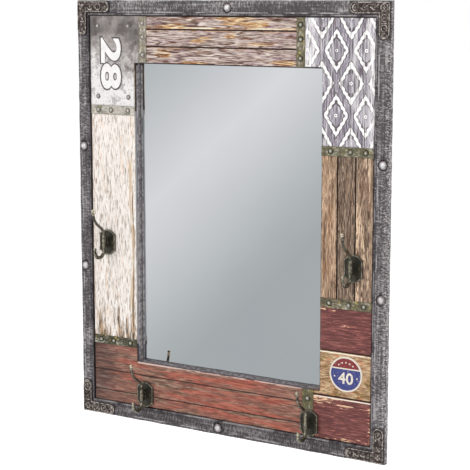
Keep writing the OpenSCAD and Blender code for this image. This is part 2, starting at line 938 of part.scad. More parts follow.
module hook_rod() {
    top = [rod_out, rod_half];
    foot = [rod_out, -rod_half];
    arm_start = top + upper_bend_r * [1 - cos(arm_lean), sin(arm_lean)];
    arm_end = arm_start + arm_length * [sin(arm_lean), cos(arm_lean)];
    return_centre = arm_end + return_bend_r * [-cos(arm_lean), sin(arm_lean)];
    tip_start = return_centre + return_bend_r * [cos(tip_lean), -sin(tip_lean)];
    tip_end = tip_start + tip_length * [sin(tip_lean), cos(tip_lean)];
    curl_end = foot + [2 * curl_r, 0];
    joint_r = rod_r + joint_swell;
    union() {
        // Upright rod and the web that joins it to the plate.
        stretch([rod_out, 0], 0, -rod_half + joint_step, rod_half - joint_step, rod_r, rod_r);
        translate([0, -web_half, -web_w / 2]) cube([rod_out, 2 * web_half, web_w]);
        ball(top, joint_r);
        ball(foot, joint_r);
        // Upper bend, leaning arm, return bend, tapered tip, bead and ball.
        bend(top + [upper_bend_r, 0], upper_bend_r, 180 - arm_lean, arm_lean);
        ball(arm_start, joint_r);
        stretch(arm_start, arm_lean, joint_step, arm_length - joint_step, rod_r, rod_r);
        ball(arm_end, joint_r);
        bend(return_centre, return_bend_r, -arm_lean, arm_lean - tip_lean);
        ball(tip_start, joint_r);
        stretch(tip_start, tip_lean, joint_step, tip_length, rod_r, tip_rod_r);
        stretch(tip_start, tip_lean, tip_length - bead_back, tip_length - bead_back + bead_w,
                bead_r_out, bead_r_out);
        ball(tip_end, tip_r);
        // Lower curl, bead and ball.
        bend(foot + [curl_r, 0], curl_r, 180, 180);
        stretch(curl_end, 0, -joint_step, bead_w, bead_r_out, bead_r_out);
        ball(curl_end + [0, tip_r - joint_step], tip_r);
    }
}

module hook(place) {
    color("darkolivegreen") translate([place[0], place[2], place[1]]) union() {
        rotate([90, 0, 0]) difference() {
            union() {
                linear_extrude(hook_field_t) hook_outline(0);
                linear_extrude(hook_plate_t) difference() {
                    hook_outline(0);
                    hook_outline(hook_rim_w);
                }
            }
            for (s = [-1, 1]) {
                translate([s * hook_screw_x, 0, -1])
                    cylinder(r = hook_screw_r + shank_play, h = hook_plate_t + 2, $fn = 24);
            }
        }
        in_profile() hook_rod();
    }
}

module hook_left() {
    hook(hook_places[0]);
}

module hook_right() {
    hook(hook_places[1]);
}

module hook_bottom_left() {
    hook(hook_places[2]);
}

module hook_bottom_right() {
    hook(hook_places[3]);
}

module hook_screws() {
    color("goldenrod") for (h = hook_places) {
        for (s = [-1, 1]) {
            facing(h[0] + s * hook_screw_x, h[2] - hook_field_t, h[1])
                nail(hook_head_r, hook_head_h, hook_screw_r, hook_screw_length);
        }
    }
}

// Hanger plates: keyholes over a pocket in the top rail.
module hanger_plate(s) {
    color("silver") facing_back(s * hanger_spacing / 2, rail_back_y, hanger_z) difference() {
        translate([-hanger_w / 2, -hanger_h / 2 - keyhole_rise / 2, 0])
            cube([hanger_w, hanger_h, hanger_t]);
        translate([0, 0, -1]) union() {
            cylinder(r = keyhole_r, h = hanger_t + 2, $fn = 64);
            translate([-keyhole_slot_w / 2, -keyhole_rise, 0])
                cube([keyhole_slot_w, keyhole_rise, hanger_t + 2]);
            translate([0, -keyhole_rise, 0])
                cylinder(d = keyhole_slot_w, h = hanger_t + 2, $fn = 48);
            for (d = [-1, 1]) {
                translate([d * hanger_screw_x, 0, 0])
                    cylinder(r = hanger_screw_r + shank_play, h = hanger_t + 2, $fn = 24);
            }
        }
    }
}

module hanger_plate_left() {
    hanger_plate(-1);
}

module hanger_plate_right() {
    hanger_plate(1);
}

module hanger_screws() {
    color("silver") for (s = [-1, 1]) {
        for (d = [-1, 1]) {
            facing_back(s * hanger_spacing / 2 + d * hanger_screw_x, rail_back_y + hanger_t,
                        hanger_z)
                nail(hanger_head_r, hanger_head_h, hanger_screw_r, hanger_screw_length);
        }
    }
}

carrier_board();
back_rail_top();
back_rail_bottom();
back_rail_left();
back_rail_right();
rail_dowels();
carrier_screws();
liner_top();
liner_bottom();
liner_left();
liner_right();
mirror_glass();
packing_sheet();
back_cover();
back_cover_screws();
border_top();
border_bottom();
border_left();
border_right();
corner_bracket_top_left();
corner_bracket_top_right();
corner_bracket_bottom_left();
corner_bracket_bottom_right();
bracket_nails();
border_studs();
plate_base_board();
number_plate();
top_board_upper();
top_board_middle();
top_board_lower();
pattern_board();
right_board_inner();
right_board_middle();
right_board_outer();
red_board();
badge_board();
corner_board();
bottom_board_upper();
bottom_board_middle();
bottom_board_lower();
white_board();
strap_top_left();
strap_top_right();
strap_left_upper();
strap_left_lower();
strap_right_upper();
strap_right_lower();
strap_bottom();
rivets();
enamel_badge();
hook_left();
hook_right();
hook_bottom_left();
hook_bottom_right();
hook_screws();
hanger_plate_left();
hanger_plate_right();
hanger_screws();
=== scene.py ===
"""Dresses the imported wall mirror: a patchwork frame of worn boards and brass straps, with hooks.

The mirror's back lies on the plane Y = 0 and its front faces -Y. Lengths are in metres.
"""

import math
from functools import partialmethod

import bmesh
import bpy
from bpy.props import (
    FloatProperty, FloatVectorProperty, IntProperty, PointerProperty, StringProperty,
)
from mathutils import Matrix, Vector, noise


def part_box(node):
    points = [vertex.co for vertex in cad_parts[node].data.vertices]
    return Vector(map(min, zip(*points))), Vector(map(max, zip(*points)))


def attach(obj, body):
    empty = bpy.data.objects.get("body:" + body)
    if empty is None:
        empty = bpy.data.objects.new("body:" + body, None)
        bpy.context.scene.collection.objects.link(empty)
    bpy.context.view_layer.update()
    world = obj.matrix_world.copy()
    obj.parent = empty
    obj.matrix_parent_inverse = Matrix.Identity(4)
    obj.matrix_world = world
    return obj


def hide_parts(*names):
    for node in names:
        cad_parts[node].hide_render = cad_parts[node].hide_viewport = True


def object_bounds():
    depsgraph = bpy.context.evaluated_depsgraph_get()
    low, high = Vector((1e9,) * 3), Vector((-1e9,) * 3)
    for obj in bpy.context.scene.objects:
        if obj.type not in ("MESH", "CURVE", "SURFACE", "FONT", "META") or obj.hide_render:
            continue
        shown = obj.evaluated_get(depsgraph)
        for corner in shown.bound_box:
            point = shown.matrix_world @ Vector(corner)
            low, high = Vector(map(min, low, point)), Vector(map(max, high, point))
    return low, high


bl_info = {
    "name": "Patchwork Mirror",
    "version": (1, 0, 0),
    "blender": (4, 5, 0),
    "location": "View3D > Sidebar > Mirror",
    "description": "Builds the pieces and finishes of a wall mirror with a patchwork frame",
    "category": "Object",
}

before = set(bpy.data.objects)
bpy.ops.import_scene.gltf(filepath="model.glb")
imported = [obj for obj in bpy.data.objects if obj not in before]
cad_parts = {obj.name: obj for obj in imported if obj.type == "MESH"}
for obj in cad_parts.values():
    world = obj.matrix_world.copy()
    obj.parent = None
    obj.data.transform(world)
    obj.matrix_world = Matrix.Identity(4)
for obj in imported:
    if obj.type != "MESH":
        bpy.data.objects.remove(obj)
CAD_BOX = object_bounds()

BODY = "root"
MM = 0.001

# Places that several pieces share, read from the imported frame.
OPEN_X = -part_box("white_board")[1].x
OPEN_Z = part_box("top_board_lower")[0].z
EDGE_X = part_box("border_right")[1].x
EDGE_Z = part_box("border_top")[1].z
FACE_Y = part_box("white_board")[0].y
BORDER_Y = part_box("border_top")[0].y
BORDER_BACK_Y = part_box("border_top")[1].y
BORDER_W = EDGE_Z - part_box("border_top")[0].z
GLASS_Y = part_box("mirror_glass")[0].y
LINER_FRONT_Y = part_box("liner_top")[0].y
STRAP_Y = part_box("strap_bottom")[0].y

# The corner brackets are alike: how long and wide their arms are, and how far they sit in.
BRACKET_LOW, BRACKET_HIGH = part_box("corner_bracket_top_right")
BRACKET_LEVEL = BRACKET_HIGH.x - BRACKET_LOW.x
BRACKET_UPRIGHT = BRACKET_HIGH.z - BRACKET_LOW.z
BRACKET_INSET = EDGE_X - BRACKET_HIGH.x
BRACKET_W = 19 * MM

TOP_BOARDS = ("top_board_upper", "top_board_middle", "top_board_lower")
RIGHT_BOARDS = ("right_board_inner", "right_board_middle", "right_board_outer")
BOTTOM_BOARDS = ("bottom_board_upper", "bottom_board_middle", "bottom_board_lower")
SIDES = {"top": 0, "right": math.pi / 2, "bottom": math.pi, "left": -math.pi / 2}
LEVEL_SIDES = ("top", "bottom")
HOOKS = ("hook_left", "hook_right", "hook_bottom_left", "hook_bottom_right")

# Points that lie closer than this are one.
TOUCH = 1e-6

# How strongly every finish shows its relief.
BUMP_STRENGTH = 0.6

# How far apart the three parts of a stray push are read from one noise.
STRAY_SHIFTS = (Vector((9.3, -1.5, -7.9)), Vector((0, 0, 0)), Vector((6.3, 11.1, -6.5)))


def srgb(red, green, blue):
    """A screen colour from 0 to 255 as the linear colour that a shader takes."""

    def linear(level):
        level /= 255
        return level / 12.92 if level <= 0.04045 else ((level + 0.055) / 1.055) ** 2.4

    return (linear(red), linear(green), linear(blue))


# The mirror's own colour, and the colour of each strap.
SILVER = srgb(231, 233, 234)
STRAP_TONES = {
    "strap_top_left": srgb(158, 149, 134),
    "strap_top_right": srgb(130, 122, 98),
    "strap_left_upper": srgb(200, 193, 182),
    "strap_left_lower": srgb(90, 86, 68),
    "strap_right_upper": srgb(128, 121, 98),
    "strap_right_lower": srgb(126, 116, 92),
    "strap_bottom": srgb(126, 118, 88),
}


def colour(label, default, what):
    """A colour setting."""
    return FloatVectorProperty(
        name=label, description="Colour of the " + what, default=default, size=3, min=0, max=1,
        subtype="COLOR",
    )


def length(label, default, about):
    """A length setting, in metres."""
    return FloatProperty(
        name=label, description=about, default=default, min=0, unit="LENGTH", precision=4
    )


def angle(label, degrees, about):
    """An angle setting."""
    return FloatProperty(
        name=label, description=about, default=math.radians(degrees), subtype="ANGLE"
    )


# ---- Settings ----


class BorderSettings(bpy.types.PropertyGroup):
    """The pewter border, its brackets and its studs."""

    wobble: length("Wobble", 0.6 * MM, "How far the hammered outline strays")
    step: length("Step", 6 * MM, "Distance between the sections of the moulding")
    bead: length("Bead", 1.5 * MM, "Radius of the bead on the inner edge")
    round_over: length("Round over", 4 * MM, "Radius of the outer edge")
    dark: colour("Dark pewter", srgb(94, 89, 91), "hollows")
    light: colour("Light pewter", srgb(136, 130, 131), "hammered faces")
    speck: colour("Bare metal", srgb(188, 182, 182), "worn high spots")
    cast: colour("Brackets", srgb(132, 121, 114), "pressed corner brackets")
    stud: colour("Stud", srgb(190, 178, 180), "nickel studs")


class BoardSettings(bpy.types.PropertyGroup):
    """The patchwork boards."""

    wobble: length("Wobble", 0.5 * MM, "How far a sawn edge strays")
    step: length("Step", 6 * MM, "Distance between the points of a sawn edge")
    bevel: length("Bevel", 0.9 * MM, "Worn corner of a board")
    margin: length("Worn margin", 2.2 * MM, "Width of the darker margin round a board")
    weathered: colour("Weathered board", srgb(178, 158, 150), "boards along the top")
    inner: colour("Inner upright", srgb(172, 138, 112), "upright board by the glass")
    middle: colour("Middle upright", srgb(112, 92, 78), "middle upright board")
    outer: colour("Outer upright", srgb(136, 110, 92), "outer upright board")
    red: colour("Red paint", srgb(142, 94, 80), "boards along the foot")
    bright_red: colour("Bright red paint", srgb(170, 84, 66), "less faded paint")
    dark_red: colour("Dark red paint", srgb(110, 61, 58), "dark red boards")
    tan: colour("Tan board", srgb(188, 152, 116), "board behind the badge")
    white: colour("White paint", srgb(242, 235, 229), "tall board on the left")
    violet: colour("Pattern dye", srgb(168, 160, 171), "dark parts of the diamond pattern")


class MetalSettings(bpy.types.PropertyGroup):
    """The straps, rivets, number plate and badge."""

    patina: colour("Patina", srgb(98, 102, 70), "green stains on the straps")
    plate: colour("Number plate", srgb(134, 127, 124), "painted steel plate")
    rivet: colour("Rivet", srgb(134, 130, 106), "rivet heads")
    pale_rivet: colour("Pale rivet", srgb(170, 162, 150), "worn rivet heads")
    number: StringProperty(name="Number", description="Plain number on the plate", default="28")
    badge_number: StringProperty(
        name="Badge number", description="Plain number on the badge", default="40"
    )
    navy: colour("Navy enamel", srgb(64, 70, 132), "badge's lower field")
    maroon: colour("Maroon enamel", srgb(132, 52, 50), "badge's upper field")
    cream: colour("Cream enamel", srgb(236, 226, 212), "badge's lines")


class HookSettings(bpy.types.PropertyGroup):
    """The cast hooks."""

    rod: length("Rod", 3.5 * MM, "Radius of the rod at the plate")
    tip: length("Tip", 3.2 * MM, "Radius of the ball at each tip")
    segments: IntProperty(
        name="Segments", description="Sides of the rod", default=20, min=8, max=48
    )
    bronze: colour("Bronze", srgb(80, 77, 67), "casting")
    # The rubbed colour is partly rubbed wear and partly a painted highlight.
    rubbed: colour("Rubbed bronze", srgb(224, 214, 188), "rubbed high spots")


class StageSettings(bpy.types.PropertyGroup):
    """The camera, the light and the floor."""

    camera: FloatVectorProperty(
        name="Camera", description="Place of the camera", default=(1.299, -2.164, 0.401),
        size=3, subtype="TRANSLATION", unit="LENGTH",
    )
    turn: angle("Turn", 30.87, "How far the camera turns to the left")
    tilt: angle("Tilt", 8.35, "How far the camera tilts down")
    lens: FloatProperty(
        name="Lens", description="Focal length for a 36 mm sensor", default=106.9, unit="CAMERA"
    )
    shift: FloatProperty(
        name="Shift", description="Upright lens shift, as a share of the picture", default=-0.065
    )
    floor_drop: length("Floor drop", 0.45, "Distance of the floor below the mirror")
    floor: colour("Floor", srgb(238, 238, 238), "floor")


class MirrorSettings(bpy.types.PropertyGroup):
    """All the settings of the mirror."""

    border: PointerProperty(type=BorderSettings)
    boards: PointerProperty(type=BoardSettings)
    metal: PointerProperty(type=MetalSettings)
    hooks: PointerProperty(type=HookSettings)
    stage: PointerProperty(type=StageSettings)


# ---- Materials ----


class Finish:
    """One procedural material, laid out in the object's own coordinates.

    Its tone is its colour so far: each coat and each wash goes over it.
    """

    def __init__(self, name, seed=0, direction="X", metallic=0, roughness=0.6):
        self.seed = seed
        self.direction = direction
        self.tone = None
        self.material = bpy.data.materials.new(name)
        self.material.use_nodes = True
        self.tree = self.material.node_tree
        self.shader = self.tree.nodes["Principled BSDF"]
        self.shader.inputs["Metallic"].default_value = metallic
        self.shader.inputs["Roughness"].default_value = roughness
        self.place = self.node("TexCoord").outputs["Object"]
        self.x, self.y, self.z = self.node("SeparateXYZ", Vector=self.place).outputs

    def feed(self, socket, value):
        """Links a socket to another, or sets its value."""
        if isinstance(value, bpy.types.NodeSocket):
            self.tree.links.new(value, socket)
        elif socket.type == "RGBA" and len(value) == 3:
            socket.default_value = (*value, 1)
        else:
            socket.default_value = value

    def node(self, kind, settings=None, **inputs):
        """Adds a node, with its settings and inputs."""
        made = self.tree.nodes.new("ShaderNode" + kind)
        for key, value in (settings or {}).items():
            setattr(made, key, value)
        for key, value in inputs.items():
            self.feed(made.inputs[key], value)
        return made

    def sum(self, kind, operation, *values):
        """One sum of a few values or vectors."""
        made = self.node(kind, {"operation": operation})
        for socket, value in zip(made.inputs, values):
            self.feed(socket, value)
        return made.outputs

    def maths(self, operation, first, second=0):
        """One sum of two values."""
        return self.sum("Math", operation, first, second)[0]

    add = partialmethod(maths, "ADD")
    less = partialmethod(maths, "SUBTRACT")
    times = partialmethod(maths, "MULTIPLY")
    over = partialmethod(maths, "DIVIDE")
    most = partialmethod(maths, "MAXIMUM")
    least = partialmethod(maths, "MINIMUM")
    plain = partialmethod(maths, "ABSOLUTE")

    def off(self, value, middle):
        """How far a value lies from a middle one."""
        return self.plain(self.less(value, middle))

    def vector(self, operation, first, second=(0, 0, 0)):
        """One sum of two vectors."""
        return self.sum("VectorMath", operation, first, second)

    def far(self, across, up):
        """How far a point lies from a middle, from its two distances on the front."""
        flat = self.node("CombineXYZ", X=across, Y=0, Z=up).outputs[0]
        return self.vector("LENGTH", flat)[1]

    def run(self, across, along, shift=0, lean=0):
        """Coordinates whose marks run one way, with their number to the metre across and along."""
        scale = (along, across, across) if self.direction == "X" else (across, across, along)
        start = self.seed + shift
        return self.node(
            "Mapping", Vector=self.place, Location=(start, start * 0.7, start * 1.3),
            Rotation=(0, math.radians(lean), 0), Scale=scale,
        ).outputs["Vector"]

    def warped(self, place, scale, amount):
        """Coordinates pushed about by a slow noise."""
        drift = self.node("TexNoise", Vector=place, Scale=scale, Detail=2).outputs["Color"]
        centred = self.vector("SUBTRACT", drift, (0.5, 0.5, 0.5))[0]
        pushed = self.vector("MULTIPLY", centred, (amount, amount, amount))[0]
        return self.vector("ADD", place, pushed)[0]

    def noise(self, place, detail, roughness):
        """A cloudy value from 0 to 1."""
        return self.node(
            "TexNoise", Vector=place, Scale=1, Detail=detail, Roughness=roughness
        ).outputs["Fac"]

    def grain(self, across, along, shift=0, detail=3, roughness=0.6, lean=0):
        """A cloudy value whose marks run one way."""
        return self.noise(self.run(across, along, shift, lean), detail, roughness)

    def cloud(self, scale, shift=0, detail=3, roughness=0.6):
        """A cloudy value with round marks."""
        return self.grain(scale, scale, shift, detail, roughness)

    def mask(self, value, low, high):
        """0 at the low value and 1 at the high one, with a smooth step between them."""
        ends = {"Value": value, "From Min": low, "From Max": high}
        made = self.node("MapRange", {"interpolation_type": "SMOOTHSTEP"}, **ends)
        return made.outputs["Result"]

    def band(self, value, middle, outer, inner):
        """1 within an inner reach of a middle value, and 0 beyond an outer one."""
        return self.mask(self.off(value, middle), outer, inner)

    def patches(self, across, along, shift, low, high, roughness=0.65):
        """Ragged patches that run one way."""
        return self.mask(self.grain(across, along, shift, 4, roughness), low, high)

    def spots(self, scale, shift, low, high, detail=4):
        """Ragged round spots."""
        return self.mask(self.cloud(scale, shift, detail), low, high)

    def ramp(self, value, stops):
        """A colour for each value, between stops of a place and a colour."""
        made = self.node("ValToRGB", Fac=value)
        elements = made.color_ramp.elements
        while len(elements) < len(stops):
            elements.new(1)
        for element, (place, tone) in zip(elements, stops):
            element.position = place
            element.color = (*tone, 1)
        return made.outputs["Color"]

    def mix(self, share, first, second, blend="MIX"):
        """A share of the second colour over the first."""
        made = self.node("Mix", {"data_type": "RGBA", "blend_type": blend}, Factor=share)
        self.feed(made.inputs["A"], first)
        self.feed(made.inputs["B"], second)
        return made.outputs["Result"]

    def coat(self, share, mark, amount=1):
        """Lays a mark over the tone, where its share is more than 0."""
        share = share if amount == 1 else self.times(share, amount)
        self.tone = self.mix(share, self.tone, mark)

    def wash(self, share, thin):
        """Washes the tone with a thin colour, where its share is more than 0."""
        self.tone = self.mix(share, self.tone, thin, "MULTIPLY")

    def marked(self, name="rim"):
        """The share that each point of the piece was marked with."""
        return self.node("Attribute", {"attribute_name": name}).outputs["Fac"]

    def finish(self, height=None, depth=0, roughness=None):
        """Links the tone, the relief and the roughness, and returns the material."""
        self.feed(self.shader.inputs["Base Color"], self.tone)
        if roughness is not None:
            self.feed(self.shader.inputs["Roughness"], roughness)
        if height is not None:
            bump = self.node("Bump", Height=height, Strength=BUMP_STRENGTH, Distance=depth)
            self.feed(self.shader.inputs["Normal"], bump.outputs["Normal"])
        return self.material


def shade(tone, level):
    """A colour made darker or lighter."""
    return tuple(min(1, part * level) for part in tone)


def blended(first, second, share):
    """A colour between two others."""
    return tuple(a + (b - a) * share for a, b in zip(first, second))


class Wood(Finish):
    """Weathered wood: fibres, cracks and the dirt in its joints."""

    def fibres(self, tones, across, along, warp, spread=1):
        """Lays the grain in five tones, from dark hollow to pale crest, and returns its height."""
        coarse = self.noise(self.warped(self.run(across, along), 0.5, warp), 3, 0.58)
        fine = self.grain(across * 2.6, along * 2.4, 5)
        value = self.add(self.times(coarse, 0.85), self.times(fine, 0.15))
        steps = zip((-0.090, -0.045, 0, 0.048, 0.100), tones)
        self.tone = self.ramp(value, [(0.5 + step * spread, tone) for step, tone in steps])
        return value

    def drift(self, along):
        """A slow ragged change along the grain."""
        return self.noise(self.warped(self.run(150, along, 33), 0.6, 0.8), 3, 0.6)

    def cracked(self, crack, crest, amount, along, width=0.014, across=90):
        """Long dark cracks, each with a pale crest on one side."""
        place = self.warped(self.run(across, along, 21), 1.4, 0.30)
        level = self.less(self.noise(place, 2, 0.5), 0.5)
        self.coat(self.band(level, 2.1 * width, 1.5 * width, 0.5 * width), crest, amount * 0.6)
        self.coat(self.mask(self.plain(level), width, width * 0.3), crack, amount)

    def blot(self, place, reach):
        """A ragged stain round a place on the front."""
        across = self.over(self.less(self.x, place[0]), reach[0])
        up = self.over(self.less(self.z, place[1]), reach[1])
        far = self.far(across, up)
        ragged = self.less(self.grain(90, 16, 9, 4, 0.65), 0.5)
        return self.mask(self.add(far, self.times(ragged, 4)), 1.15, 0.75)

    def joints(self, dirt, low, amount=0.95, arris=None):
        """Darkens the ragged margin of a board, with a broken pale arris inside it."""
        spread = self.add(self.marked(), self.less(self.cloud(240, 2), 0.5))
        if arris:
            near = self.band(self.marked(), 0.42, 0.38, 0.18)
            self.coat(self.times(near, self.patches(90, 14, 27, 0.50, 0.58)), arris)
        self.coat(self.mask(spread, low, low + 0.3), dirt, amount)

    def lit_arris(self, top):
        """A broken painted highlight along a board's top arris."""
        line = self.band(self.z, top - 2.9 * MM, 1.4 * MM, 0.7 * MM)
        broken = self.patches(50, 20, 31, 0.38, 0.48)
        self.coat(self.times(line, broken), srgb(250, 240, 220), 0.95)

    def sides(self, paint):
        """Paints a board's sawn sides, behind its front arris."""
        self.coat(self.mask(self.y, FACE_Y + 1 * MM, FACE_Y + 1.6 * MM), paint)


def wood_ladder(tone, dark, light, crest):
    """Five tones of one wood, from its hollows to its crests."""
    return (
        shade(tone, dark), shade(tone, 0.68), tone,
        blended(tone, light, crest * 0.5), blended(tone, light, crest),
    )


def top_board_wood(node, seed, settings, stains, lit_edge):
    """Silvered wood with cream crests, wavy cracks and old orange paint."""
    wood = Wood(node + "_wood", seed, roughness=0.75)
    low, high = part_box(node)
    ladder = (
        srgb(100, 72, 58), srgb(144, 120, 110), settings.weathered, srgb(194, 176, 168),
        srgb(226, 212, 202),
    )
    value = wood.fibres(ladder, across=700, along=50, warp=0.45)
    broad = wood.drift(16)
    wood.wash(wood.mask(broad, 0.47, 0.38), srgb(192, 164, 148))
    wood.coat(wood.mask(broad, 0.56, 0.62), srgb(222, 208, 202), 0.35)
    wood.wash(wood.patches(46, 18, 3, 0.48, 0.58), srgb(238, 230, 242))
    warm = wood.ramp(value, [
        (0.41, srgb(112, 62, 30)), (0.47, srgb(172, 116, 66)), (0.53, srgb(208, 166, 112)),
        (0.60, srgb(244, 224, 184)),
    ])
    for x, z, reach_x, reach_z in stains:
        place = (x * MM, low.z + (high.z - low.z) * z)
        wood.coat(wood.blot(place, (reach_x * MM, reach_z * MM)), warm, 0.9)
    wood.cracked(srgb(76, 48, 34), srgb(236, 222, 208), amount=0.75, along=6, width=0.020)
    # The upper board gets a broken painted highlight along its lower arris.
    if lit_edge:
        edge = wood.band(wood.z, low.z + 2.6 * MM, 1.3 * MM, 0.7 * MM)
        broken = wood.grain(60, 16, 31)
        gold = wood.ramp(broken, [
            (0.38, srgb(140, 92, 58)), (0.46, srgb(220, 172, 112)), (0.56, srgb(250, 236, 200)),
        ])
        wood.coat(edge, gold, 0.95)
    else:
        edge = wood.mask(wood.less(high.z, wood.z), 3.6 * MM, 2.4 * MM)
        broken = wood.patches(60, 12, 31, 0.48, 0.56)
        wood.coat(wood.times(edge, broken), srgb(196, 150, 110), 0.6)
    wood.joints(srgb(58, 32, 20), low=0.36)
    wood.sides(srgb(40, 32, 28))
    return wood.finish(value, 0.9 * MM)


def upright_wood(name, seed, tone, crest, strokes):
    """Brown upright board with fine flecks and cream flaking in long slanted strokes."""
    wood = Wood(name, seed, "Z", roughness=0.75)
    cream = srgb(236, 206, 174)
    value = wood.fibres(wood_ladder(tone, 0.56, cream, crest * 0.8), across=720, along=80, warp=0.6)
    broad = wood.drift(9)
    wood.wash(wood.mask(broad, 0.48, 0.40), srgb(214, 198, 184))
    pale = blended(tone, cream, 0.6)
    wood.coat(wood.mask(broad, 0.55, 0.64), pale, 0.15 + crest * 0.35)
    wood.wash(wood.patches(50, 9, 13, 0.50, 0.60), srgb(214, 216, 216))
    wood.cracked(shade(tone, 0.34), pale, amount=0.5, along=5)
    for lean, shift in ((11, 41), (-12, 53)):
        stroke = wood.grain(170, 11, shift, lean=lean)
        where = wood.grain(40, 9, shift + 3, 2)
        both = wood.add(wood.times(stroke, 0.6), wood.times(where, 0.4))
        start = 0.640 - 0.070 * strokes
        flaked = wood.mask(both, start, start + 0.025)
        crests = wood.mask(value, 0.44, 0.50)
        wood.coat(wood.times(flaked, crests), srgb(236, 204, 172), 0.85)
    wood.joints(srgb(38, 26, 18), low=0.26, arris=pale)
    wood.sides(shade(tone, 0.4))
    return wood.finish(value, 0.8 * MM)


def foot_board_paint(node, seed, settings):
    """Faded red paint with olive stains along its seams, browner at the left end."""
    wood = Wood(node + "_paint", seed, roughness=0.68)
    red, bright = settings.red, settings.bright_red
    top_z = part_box(node)[1].z
    ladder = (
        shade(red, 0.66), shade(red, 0.86), red, blended(red, srgb(220, 160, 138), 0.12),
        blended(red, srgb(230, 184, 160), 0.28),
    )
    value = wood.fibres(ladder, across=430, along=50, warp=0.8, spread=1.25)
    vivid = wood.ramp(value, [
        (0.40, shade(bright, 0.62)), (0.49, bright),
        (0.61, blended(bright, srgb(226, 150, 122), 0.2)),
    ])
    centre = wood.band(wood.x, 20 * MM, 190 * MM, 60 * MM)
    ragged = wood.add(wood.grain(90, 7, 3, 4, 0.65), wood.times(centre, 0.09))
    wood.coat(wood.mask(ragged, 0.54, 0.62), vivid, 0.8)
    olive = wood.ramp(value, [
        (0.42, srgb(72, 62, 50)), (0.50, srgb(114, 100, 84)), (0.58, srgb(156, 140, 118)),
    ])
    wood.coat(wood.patches(90, 6, 7, 0.55, 0.62), olive, 0.55)
    wood.coat(wood.patches(150, 22, 61, 0.55, 0.63), olive, 0.5)
    seam = wood.mask(wood.less(top_z, wood.z), 8 * MM, 1 * MM)
    broken = wood.patches(50, 8, 17, 0.46, 0.58)
    wood.coat(wood.times(seam, broken), olive, 0.75)
    drift = wood.times(wood.grain(30, 12, 5), 0.16)
    left = wood.mask(wood.add(wood.x, drift), -120 * MM, -220 * MM)
    brown = wood.ramp(value, [
        (0.40, srgb(72, 50, 44)), (0.50, srgb(88, 62, 55)), (0.61, srgb(108, 82, 74)),
    ])
    wood.coat(left, brown, 0.95)
    bare = wood.times(left, wood.patches(120, 18, 71, 0.56, 0.64))
    wood.coat(bare, srgb(142, 120, 113), 0.6)
    wood.cracked(srgb(64, 40, 34), srgb(196, 140, 118), amount=0.35, along=3.4)
    wood.joints(srgb(62, 48, 42), low=0.50, amount=0.8)
    if top_z > -OPEN_Z - 50 * MM:
        # The lip under the glass is worn pale, most of all at its left end.
        lip = wood.band(wood.z, -OPEN_Z - 1.4 * MM, 1.9 * MM, 1 * MM)
        inside = wood.band(wood.x, -3 * MM, OPEN_X - 3 * MM, OPEN_X - 5 * MM)
        worn = wood.mask(wood.less(wood.x, wood.times(drift, 1.6)), 60 * MM, -40 * MM)
        broken = wood.times(wood.patches(90, 20, 51, 0.38, 0.50), worn)
        wood.coat(wood.times(wood.times(lip, inside), broken), srgb(226, 198, 188), 0.8)
    wood.sides(srgb(84, 80, 88))
    return wood.finish(value, 0.8 * MM)


def barn_red_paint(name, seed, settings, scratches=None):
    """Dark red paint with a few bright strokes and pale scratches along the board."""
    wood = Wood(name, seed, roughness=0.66)
    red = settings.dark_red
    ladder = (
        shade(red, 0.74), shade(red, 0.90), red, blended(red, srgb(178, 104, 98), 0.14),
        blended(red, srgb(196, 126, 118), 0.34),
    )
    value = wood.fibres(ladder, across=480, along=40, warp=0.3)
    stroke = wood.grain(300, 32, 3)
    wood.coat(wood.mask(stroke, 0.630, 0.660), srgb(200, 116, 104), 0.75)
    line = wood.grain(300, 36, 13, 3, 0.65, lean=3)
    where = wood.grain(38, 14, 17)
    scratch = wood.add(wood.times(line, 0.55), wood.times(where, 0.45))
    if scratches:
        scratch = wood.add(scratch, wood.times(scratches(wood), 0.11))
    wood.coat(wood.mask(scratch, 0.64, 0.66), srgb(244, 200, 160), 0.92)
    wood.joints(srgb(48, 26, 22), low=0.45)
    # The corner board gets a painted highlight along its top arris.
    if scratches:
        wood.lit_arris(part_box("corner_board")[1].z)
    wood.sides(shade(red, 0.5))
    return wood.finish(value, 0.8 * MM)


def worn_corner(wood):
    """1 near the edges of the lower right board, which are scratched most."""
    low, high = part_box("corner_board")
    near_left = wood.mask(wood.x, 300 * MM, 210 * MM)
    top = wood.times(wood.mask(wood.less(high.z, wood.z), 34 * MM, 6 * MM), near_left)
    foot = wood.mask(wood.less(wood.z, low.z), 12 * MM, 1 * MM)
    side = wood.mask(wood.less(high.x, wood.x), 12 * MM, 1 * MM)
    return wood.most(top, wood.most(foot, side))


def scratched_red_paint(name, seed, settings):
    """The same paint with more scratches along its edges and its top, and a painted highlight along
    its top arris.
    """
    return barn_red_paint(name, seed, settings, worn_corner)


def badge_board_wood(name, seed, settings):
    """Yellow-tan wood with olive and pink stains and a painted highlight along its top edge."""
    wood = Wood(name, seed, roughness=0.72)
    ladder = wood_ladder(settings.tan, 0.62, srgb(246, 226, 184), 0.34)
    value = wood.fibres(ladder, across=420, along=90, warp=0.9)
    wood.wash(wood.patches(110, 46, 4, 0.50, 0.58), srgb(204, 204, 172))
    wood.wash(wood.patches(120, 60, 9, 0.52, 0.60), srgb(250, 208, 198))
    wood.joints(srgb(58, 38, 24), low=0.40)
    wood.lit_arris(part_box("badge_board")[1].z)
    wood.sides(shade(settings.tan, 0.4))
    return wood.finish(value, 0.7 * MM)


